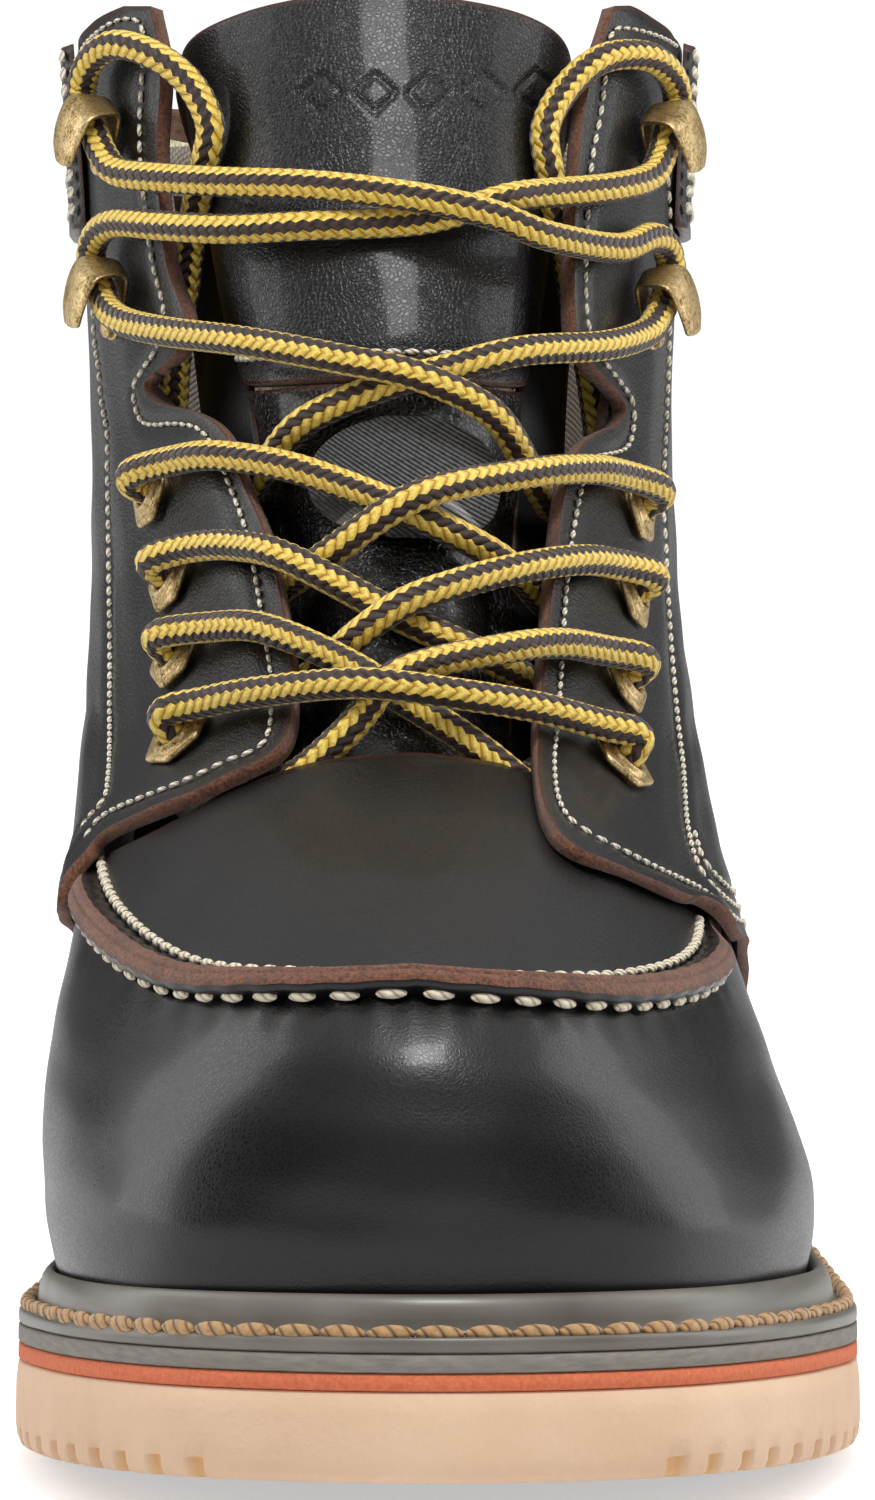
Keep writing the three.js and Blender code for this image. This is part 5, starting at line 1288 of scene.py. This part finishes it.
def tongue_top(side):
    """Level of the tongue's rounded top at a share of its half-width."""
    return TONGUE_TOP - 0.13 * side ** 2 - 0.12 * side ** 8


def tongue_grid(low, high, narrow, columns, rows):
    """Turn and level over the tongue between two levels; above level 7 it ends in the rounded top."""
    side, height = unit_grid(columns, rows, -1)
    top = tongue_top(side) - (8 - high) if high > 7 else high
    level = low + (top - low) * height
    return side * (lookup(TONGUE_HALF, level) - narrow + 0.05 * smooth(level, 7.3, 7.75)), level


def pad_thickness(level):
    """Thickness, in mm, of the foam in the tongue."""
    return blurred([(5.2, 0.8), (6, 2.6), (7, 4.6), (7.6, 4.6), (8, 2.4)], level, 0.12)


def wrapped(side, level):
    """How deep, in mm, the leather is folded round the foam at the tongue's sides."""
    return 1.2 + (pad_thickness(level) + 1.5) * smooth(np.abs(side), 0.955, 0.99)


def tongue_panel(name, node, turn, level, inner, outer, materials):
    base = tongue_offset(turn, level)
    panel = closed_panel(name, place(turn, level, base + outer), place(turn, level, base + inner), materials)
    settle(panel, node, TONGUE_BODY)


lower_leather = black_leather("tongue_pebbled_leather", 1100.0, 1.0, 0.5, 0.24, 0.00016, 0.3)
LOZENGE_PITCH, LOZENGE_RISE, LOZENGE_REACH, LOZENGE_DEPTH = 7.6 * MM, 3.3 * MM, 19 * MM, 0.4
LOZENGE_MIDDLE, LOZENGE_HEIGHT = -1.2 * MM, 177.5 * MM


def pressed_lozenges(points):
    """Depth, in mm, of a row of plain lozenge outlines pressed across the top of the tongue."""
    x = points[..., 0] - LOZENGE_MIDDLE
    along = np.abs((x / LOZENGE_PITCH + 0.5) % 1 - 0.5)
    spread = along + np.abs(points[..., 2] - LOZENGE_HEIGHT) * 0.5 / LOZENGE_RISE
    outline = smooth(-np.abs(spread - 0.4), -0.085, -0.03)
    return LOZENGE_DEPTH * outline * (np.abs(x) < LOZENGE_REACH)


upper_leather = black_leather("tongue_top_leather", 1500.0, 0.5, 0.6, 0.27, 0.00014)
turn, level = tongue_grid(TONGUE_START, TONGUE_PANEL - 0.02, 0, 80, 90)
slack = 0.35 * np.sin(level * 9 + 2 * np.sin(turn * 16)) * smooth(level, 5.1, 5.6)
tongue_panel("tongue_lower_panel", "tongue_lower", turn, level,
             -wrapped(turn / lookup(TONGUE_HALF, level), level), slack,
             [lower_leather, cut_edge, flesh_side, lower_leather])
# Over the padded top the panel is sewn round its edge, so it swells in the middle.
turn, level = tongue_grid(TONGUE_PANEL, 8, 0, 230, 110)
side = turn / turn.max(axis=1, keepdims=True)
PANEL_SEAM, SEAM_SHARE, SEAM_LIFT = 6.905, 0.97, 0.2
seam_reach = lookup(TONGUE_HALF, 6.9) * SEAM_SHARE
seam_turn, seam_row = even_places([[t, PANEL_SEAM] for t in np.linspace(-1, 1, 30) * seam_reach])
tongue_seam = place(seam_turn, seam_row, tongue_offset(seam_turn, seam_row) + SEAM_LIFT)
up_panel = np.clip((level - TONGUE_PANEL) / (tongue_top(side) - TONGUE_PANEL), 0, 1)
swollen = 0.2 + 0.5 * np.sin(np.pi * up_panel) ** 0.6
swollen += 0.35 * np.sin(side * 5 + level * 4) * np.sin(level * 7 - side * 3) * (1 - side ** 4)
plain = place(turn, level, tongue_offset(turn, level) + swollen)
swollen -= sunk(plain, [tongue_seam], 0.45, 1.3 * MM) + pressed_lozenges(plain)
tongue_panel("tongue_upper_panel", "tongue_upper", turn, level, -wrapped(side, level), swollen,
             [upper_leather, cut_edge, flesh_side, upper_leather])
stitched("tongue_stitches", [(tongue_seam, skin_normal(seam_turn, seam_row))], 2.5 * MM, 2.1 * MM,
         0.85 * MM, 0.95 * MM, fine_thread, 0.1, 13, TONGUE_BODY)
turn, level = tongue_grid(5.25, 7.94, 0.006, 60, 80)
depth = pad_thickness(level) + 2.65
tongue_panel("tongue_textile_lining", "tongue_lining", turn, level, -depth - 0.9, -depth,
             [lining_cloth])
recoat(foam, "tongue_padding")

# ---------------------------------------------------------------- tongue label
# A small oval of black woven twill sewn to the tongue, with two plain bars woven in grey.

label_twill, tree, shader = finish("label_twill", Roughness=0.9, Sheen_Weight=0.3)
v = uv_parts(tree)[1]
parts = add(tree, "ShaderNodeSeparateXYZ", {"Vector": object_coords(tree)}).outputs
TWILL_PITCH, BAR_HALF, BAR_PLACES = 0.62 * MM, 0.7 * MM, (3.75 * MM, 8.75 * MM)
diagonal = calc(tree, "MULTIPLY_ADD", parts["X"], 0.6, parts["Z"])
twill = calc(tree, "SINE", calc(tree, "MULTIPLY", diagonal, 2 * math.pi / TWILL_PITCH))
fuzz = noise(tree, object_coords(tree), 1500, 3)
bars = [calc(tree, "LESS_THAN", calc(tree, "ABSOLUTE", calc(tree, "SUBTRACT", v, centre)), BAR_HALF)
        for centre in BAR_PLACES]
raised = calc(tree, "MULTIPLY", span(tree, twill, -1, 1), span(tree, fuzz, 0.35, 0.6))
colour = mixed(tree, raised, (0.008, 0.008, 0.009), (0.11, 0.11, 0.115))
colour = mixed(tree, calc(tree, "MAXIMUM", *bars), colour,
               mixed(tree, fuzz, (0.22, 0.21, 0.20), (0.42, 0.41, 0.39)))
set_shader(tree, shader, colour, None, calc(tree, "ADD", twill, fuzz), 0.0002)
across, height = unit_grid(60, 40, -1)
spread = np.sqrt(np.maximum(1 - (2 * height - 1) ** 2, 0.05))
label_turn, label_level = 0.02 + 0.13 * across * spread, 6.17 + 0.49 * height
tongue_panel("woven_oval_label", "tongue_label", label_turn, label_level, 1.15, 1.5,
             [label_twill])

# ---------------------------------------------------------------- tongue gussets
# Thin folds of soft leather that join the tongue's edges to the quarters inside the throat.

GUSSET_OUT, GUSSET_IN, GUSSET_MIDDLE = -7.5, -8.3, -7.9
gusset_leather = black_leather("gusset_leather", 1400.0, 0.3, 0.8, 0.45, coat=0.05)
across, height = unit_grid(14, 40)
gusset_level = 5.15 + 2.25 * height
turn = lookup(TONGUE_HALF, gusset_level) - 0.004 + 0.124 * across
fold = 0.1 * np.sin(across * 6 + gusset_level * 3)
for side, sign in SIDES.items():
    gusset = closed_panel(f"tongue_gusset_{side}", place(turn * sign, gusset_level, GUSSET_OUT + fold),
                          place(turn * sign, gusset_level, GUSSET_IN + fold), [gusset_leather])
    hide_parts(f"gusset_{side}")
    inner, outer = (place(turn[20, edge] * sign, gusset_level[20, edge], GUSSET_MIDDLE)
                    for edge in (0, -1))
    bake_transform(gusset)

# ---------------------------------------------------------------- eyelets
# Antique brass: a six-sided plate with a rolled rim, its barrel clenched through the leather.
# Its places, and the hooks', are [turn, level, tilt in radians].

EYELETS = {
    "medial": [[0.255, 4.92, 0.75], [0.268, 5.47, 0.5], [0.28, 5.91, 0.35], [0.315, 6.31, 0.25]],
    "lateral": [[0.255, 4.75, 0.6], [0.282, 5.32, 0.4], [0.318, 5.82, 0.3], [0.35, 6.23, 0.2]],
}
HOOKS = {
    "medial": [[0.355, 7.09, 0.7], [0.335, 7.6, 0.7]],
    "lateral": [[0.365, 7.05, 0.7], [0.35, 7.58, 0.7]],
}
PLATE = [(4.6, 3.4), (0.0, 6.4), (-4.6, 3.4), (-4.6, -3.4), (0.0, -6.4), (4.6, -3.4)]
FITTING_LIFT, HOLE = 0.6, 2.35

antique_brass, tree, shader = finish("antique_brass", Metallic=1.0)
coords = object_coords(tree)
patina = noise(tree, coords, 420, 5, 0.65)
grain = noise(tree, coords, 2400, 3, 0.6)
aged = calc(tree, "MULTIPLY_ADD", grain, 0.5, calc(tree, "MULTIPLY", patina, 0.5))
colour = ramp(tree, aged, (0.36, (0.10, 0.062, 0.024)), (0.46, (0.36, 0.25, 0.11)),
              (0.6, (0.66, 0.50, 0.26)))
set_shader(tree, shader, colour, span(tree, aged, 0.35, 0.65, 0.58, 0.34), grain, 0.00012, 0.6)


def seat(turn, level, offset, tilt):
    """Local axes on the skin as rows: along the turn, up the skin and out, turned by a tilt."""
    t, h = np.array([turn]), np.array([level])
    out = skin_normal(t, h)[0]
    up = (skin(t, h + 0.01) - skin(t, h - 0.01))[0]
    up = unit(up - out * up.dot(out))
    across = np.cross(up, out)
    c, s = math.cos(tilt), math.sin(tilt)
    return place(t, h, offset)[0], np.array([across * c + up * s, up * c - across * s, out])


def fitted(name, rings, at, node, closed=False):
    """A brass part set at a seat, from rings of points in mm that close on themselves or are capped."""
    origin, axes = at
    rings = np.asarray(rings, float)
    points = origin + rings.reshape(-1, 3) * MM @ axes
    faces = lofted(*rings.shape[:2], closed).tolist()
    if not closed:
        faces += end_caps(*rings.shape[:2])
    piece = mesh_piece(name, points, faces, [antique_brass])
    about = points - points.mean(0)
    if sum(about[f[0]].dot(np.cross(about[f[1]], about[f[2]])) for f in faces) < 0:
        piece.data.flip_normals()
    settle(piece, node)


def six_sided(radius_share, height, corners=48):
    """A ring on the plate's outline, at a share of its size, with its corners eased."""
    outline = np.array(PLATE + PLATE[:1])
    run = np.linspace(0, 6, corners, endpoint=False)
    k = np.floor(run).astype(int)
    points = outline[k] + (outline[k + 1] - outline[k]) * (run - k)[:, None]
    near = np.minimum(run - k, 1 - run + k)[:, None]
    points *= 1 - 0.035 * np.exp(-(near / 0.07) ** 2)
    return np.column_stack([points * radius_share, np.full(corners, height)])


def round_ring(radius, height, corners=48):
    """A round ring whose points lie at the angles of the plate's."""
    outline = six_sided(1, height, corners)
    angle = np.arctan2(outline[:, 1], outline[:, 0])
    return np.column_stack([np.cos(angle) * radius, np.sin(angle) * radius, np.full(corners, height)])


EYELET_RINGS = [
    six_sided(0.97, 0.0), six_sided(1.0, 0.2), six_sided(1.0, 0.6), six_sided(0.96, 0.85),
    six_sided(0.86, 0.95), round_ring(3.65, 0.95), round_ring(3.5, 1.15), round_ring(3.3, 1.4),
    round_ring(3.0, 1.55), round_ring(2.7, 1.5), round_ring(HOLE + 0.08, 1.2), round_ring(HOLE, 0.6),
    round_ring(HOLE, -4.5), round_ring(HOLE + 0.35, -4.6), round_ring(3.2, -4.5), round_ring(3.2, -0.4),
    round_ring(3.25, 0.0),
]

# ---------------------------------------------------------------- speed hooks
# Each is one strip of antique brass: a foot riveted to the shaft, a narrow neck towards the
# tongue and a broad hood bent back over the lace.

HOOK_LINE = np.array([[-7.4, 0.42], [-5.5, 0.42], [-2.0, 0.42], [1.2, 0.42], [2.9, 0.6], [3.45, 1.4],
                      [3.5, 3.0], [3.35, 4.7], [2.75, 5.75], [1.2, 6.4], [-2.0, 6.8], [-5.4, 6.75]])
HOOK_WIDTHS = np.array([3.6, 5.2, 5.6, 5.4, 5.2, 5.4, 6.2, 7.4, 8.4, 9.0, 8.8, 7.2])
HOOK_THICK, HOOK_STEPS, RIVET_PLACE = 0.82, 67, 5.5
RIVET_HEAD = ((1.75, 1.12), (1.8, 1.3), (1.65, 1.65), (1.25, 1.95), (0.7, 2.13), (0.15, 2.19))


def hook_rings(out):
    """Rings along the strip's middle line; the hood is domed and its corners rounded."""
    share = np.linspace(0, 1, HOOK_STEPS)
    line, widths = (open_spline(values, np.linspace(0, len(values) - 1, HOOK_STEPS))
                    for values in (HOOK_LINE, HOOK_WIDTHS))
    hood_end = np.clip((share - 0.96) / 0.04, 0, 1) ** 2
    foot_end = np.clip((0.05 - share) / 0.05, 0, 1) ** 2
    widths *= 1 - 0.5 * hood_end - 0.6 * foot_end
    tangent = unit(np.gradient(line, axis=0))
    normal = np.column_stack([-tangent[:, 1], tangent[:, 0]])
    angle = np.linspace(0, 2 * np.pi, 28, endpoint=False)
    across = np.sign(np.cos(angle)) * np.abs(np.cos(angle)) ** 0.35
    through = np.sign(np.sin(angle)) * np.abs(np.sin(angle)) ** 0.5
    dome = smooth(share, 0.62, 0.8)[:, None] * 0.5 * (1 - across ** 2)[None] * -1
    lift = through[None] * HOOK_THICK / 2 + dome
    x = (line[:, :1] + normal[:, :1] * lift) * out
    z = line[:, 1:] + normal[:, 1:] * lift
    y = widths[:, None] / 2 * across[None] + 0 * z
    return np.stack([x, y, z], -1)


def rivet_rings(middle):
    """Rings of a domed rivet head whose middle lies at a distance along the strip."""
    angle = np.linspace(0, 2 * np.pi, 28, endpoint=False)
    return [np.column_stack([np.cos(angle) * r + middle, np.sin(angle) * r, np.full(28, z)])
            for r, z in RIVET_HEAD]


for side, sign in SIDES.items():
    for row, (turn, level, tilt) in enumerate(EYELETS[side], 1):
        at = seat(sign * turn, level, QUARTER_OUT + FITTING_LIFT, -sign * tilt)
        fitted(f"brass_eyelet_{side}_{row}", EYELET_RINGS, at, f"eyelet_{side}_{row}", closed=True)
    for row, (turn, level, tilt) in enumerate(HOOKS[side], 1):
        at = seat(sign * turn, level, QUARTER_OUT + FITTING_LIFT, -sign * tilt)
        fitted(f"brass_hook_{side}_{row}", hook_rings(-sign), at, f"hook_{side}_{row}")
        fitted(f"brass_rivet_{side}_{row}", rivet_rings(sign * RIVET_PLACE), at, f"hook_rivet_{side}_{row}")

rubber_trim, tree, shader = finish("trim_rubber", Roughness=0.8)
specks = noise(tree, object_coords(tree), 700, 3)
set_shader(tree, shader, ramp(tree, specks, (0.3, (0.012, 0.012, 0.013)), (0.7, (0.035, 0.034, 0.036))),
           None, specks, 0.0002)
recoat(rubber_trim, "toe_cap_trim")

# ---------------------------------------------------------------- floor and light
# A pale plain floor under soft light from above, with strips at the sides for the rims.

FLOOR_REACH, FLOOR_DROP, FLOOR_GLOW = 25, 0.5 * MM, 0.5
OVERHEAD_LIGHT, FRONT_LIGHT, AMBIENT_LIGHT = 0.85, 0.4, 0.1
floor_paint, tree, shader = finish("pale_floor", Roughness=0.95, Base_Color=(0.88, 0.88, 0.88, 1),
                                   Specular_IOR_Level=0.1, Emission_Color=(1, 1, 1, 1))
seen = add(tree, "ShaderNodeLightPath").outputs["Is Camera Ray"]
tree.links.new(calc(tree, "MULTIPLY", seen, FLOOR_GLOW), shader.inputs["Emission Strength"])
corners = [(x * FLOOR_REACH, y * FLOOR_REACH, -FLOOR_DROP) for x, y in ((-1, -1), (1, -1), (1, 1), (-1, 1))]
floor = mesh_piece("studio_floor", corners, [(0, 1, 2, 3)], [floor_paint], shade=False)
world = bpy.data.worlds.new("studio_light")
world.use_nodes = True
tree = world.node_tree
sky = tree.nodes["Background"]
view = add(tree, "ShaderNodeTexCoord").outputs["Generated"]
direction = add(tree, "ShaderNodeSeparateXYZ", {"Vector": view})
overhead = span(tree, direction.outputs["Z"], 0.25, 0.95, 0.0, 1.0)
front = span(tree, direction.outputs["Y"], -0.45, -0.95, 0.0, 1.0)
glow = calc(tree, "MULTIPLY_ADD", front, FRONT_LIGHT, AMBIENT_LIGHT)
glow = calc(tree, "MULTIPLY_ADD", overhead, OVERHEAD_LIGHT, glow)
tree.links.new(glow, sky.inputs["Strength"])
sky.inputs["Color"].default_value = (1, 1, 1, 1)
bpy.context.scene.world = world


def softbox(name, place_at, aim, size, watts):
    """A rectangular lamp turned to face a point."""
    lamp = bpy.data.lights.new(name, "AREA")
    lamp.shape = "RECTANGLE"
    lamp.size, lamp.size_y = size
    lamp.energy = watts
    box = link(bpy.data.objects.new(name, lamp))
    box.location = place_at
    box.rotation_euler = (Vector(aim) - Vector(place_at)).to_track_quat("-Z", "Y").to_euler()


softbox("overhead_softbox", (0.07, -0.38, 0.95), (0, -0.05, 0.08), (0.34, 0.26), 6)
softbox("left_strip", (-0.9, 0.3, 0.35), (0, 0, 0.1), (0.5, 1.1), 4.5)
softbox("right_strip", (0.9, 0.3, 0.35), (0, 0, 0.1), (0.5, 1.1), 4.5)
bpy.context.scene.view_settings.view_transform = "Standard"
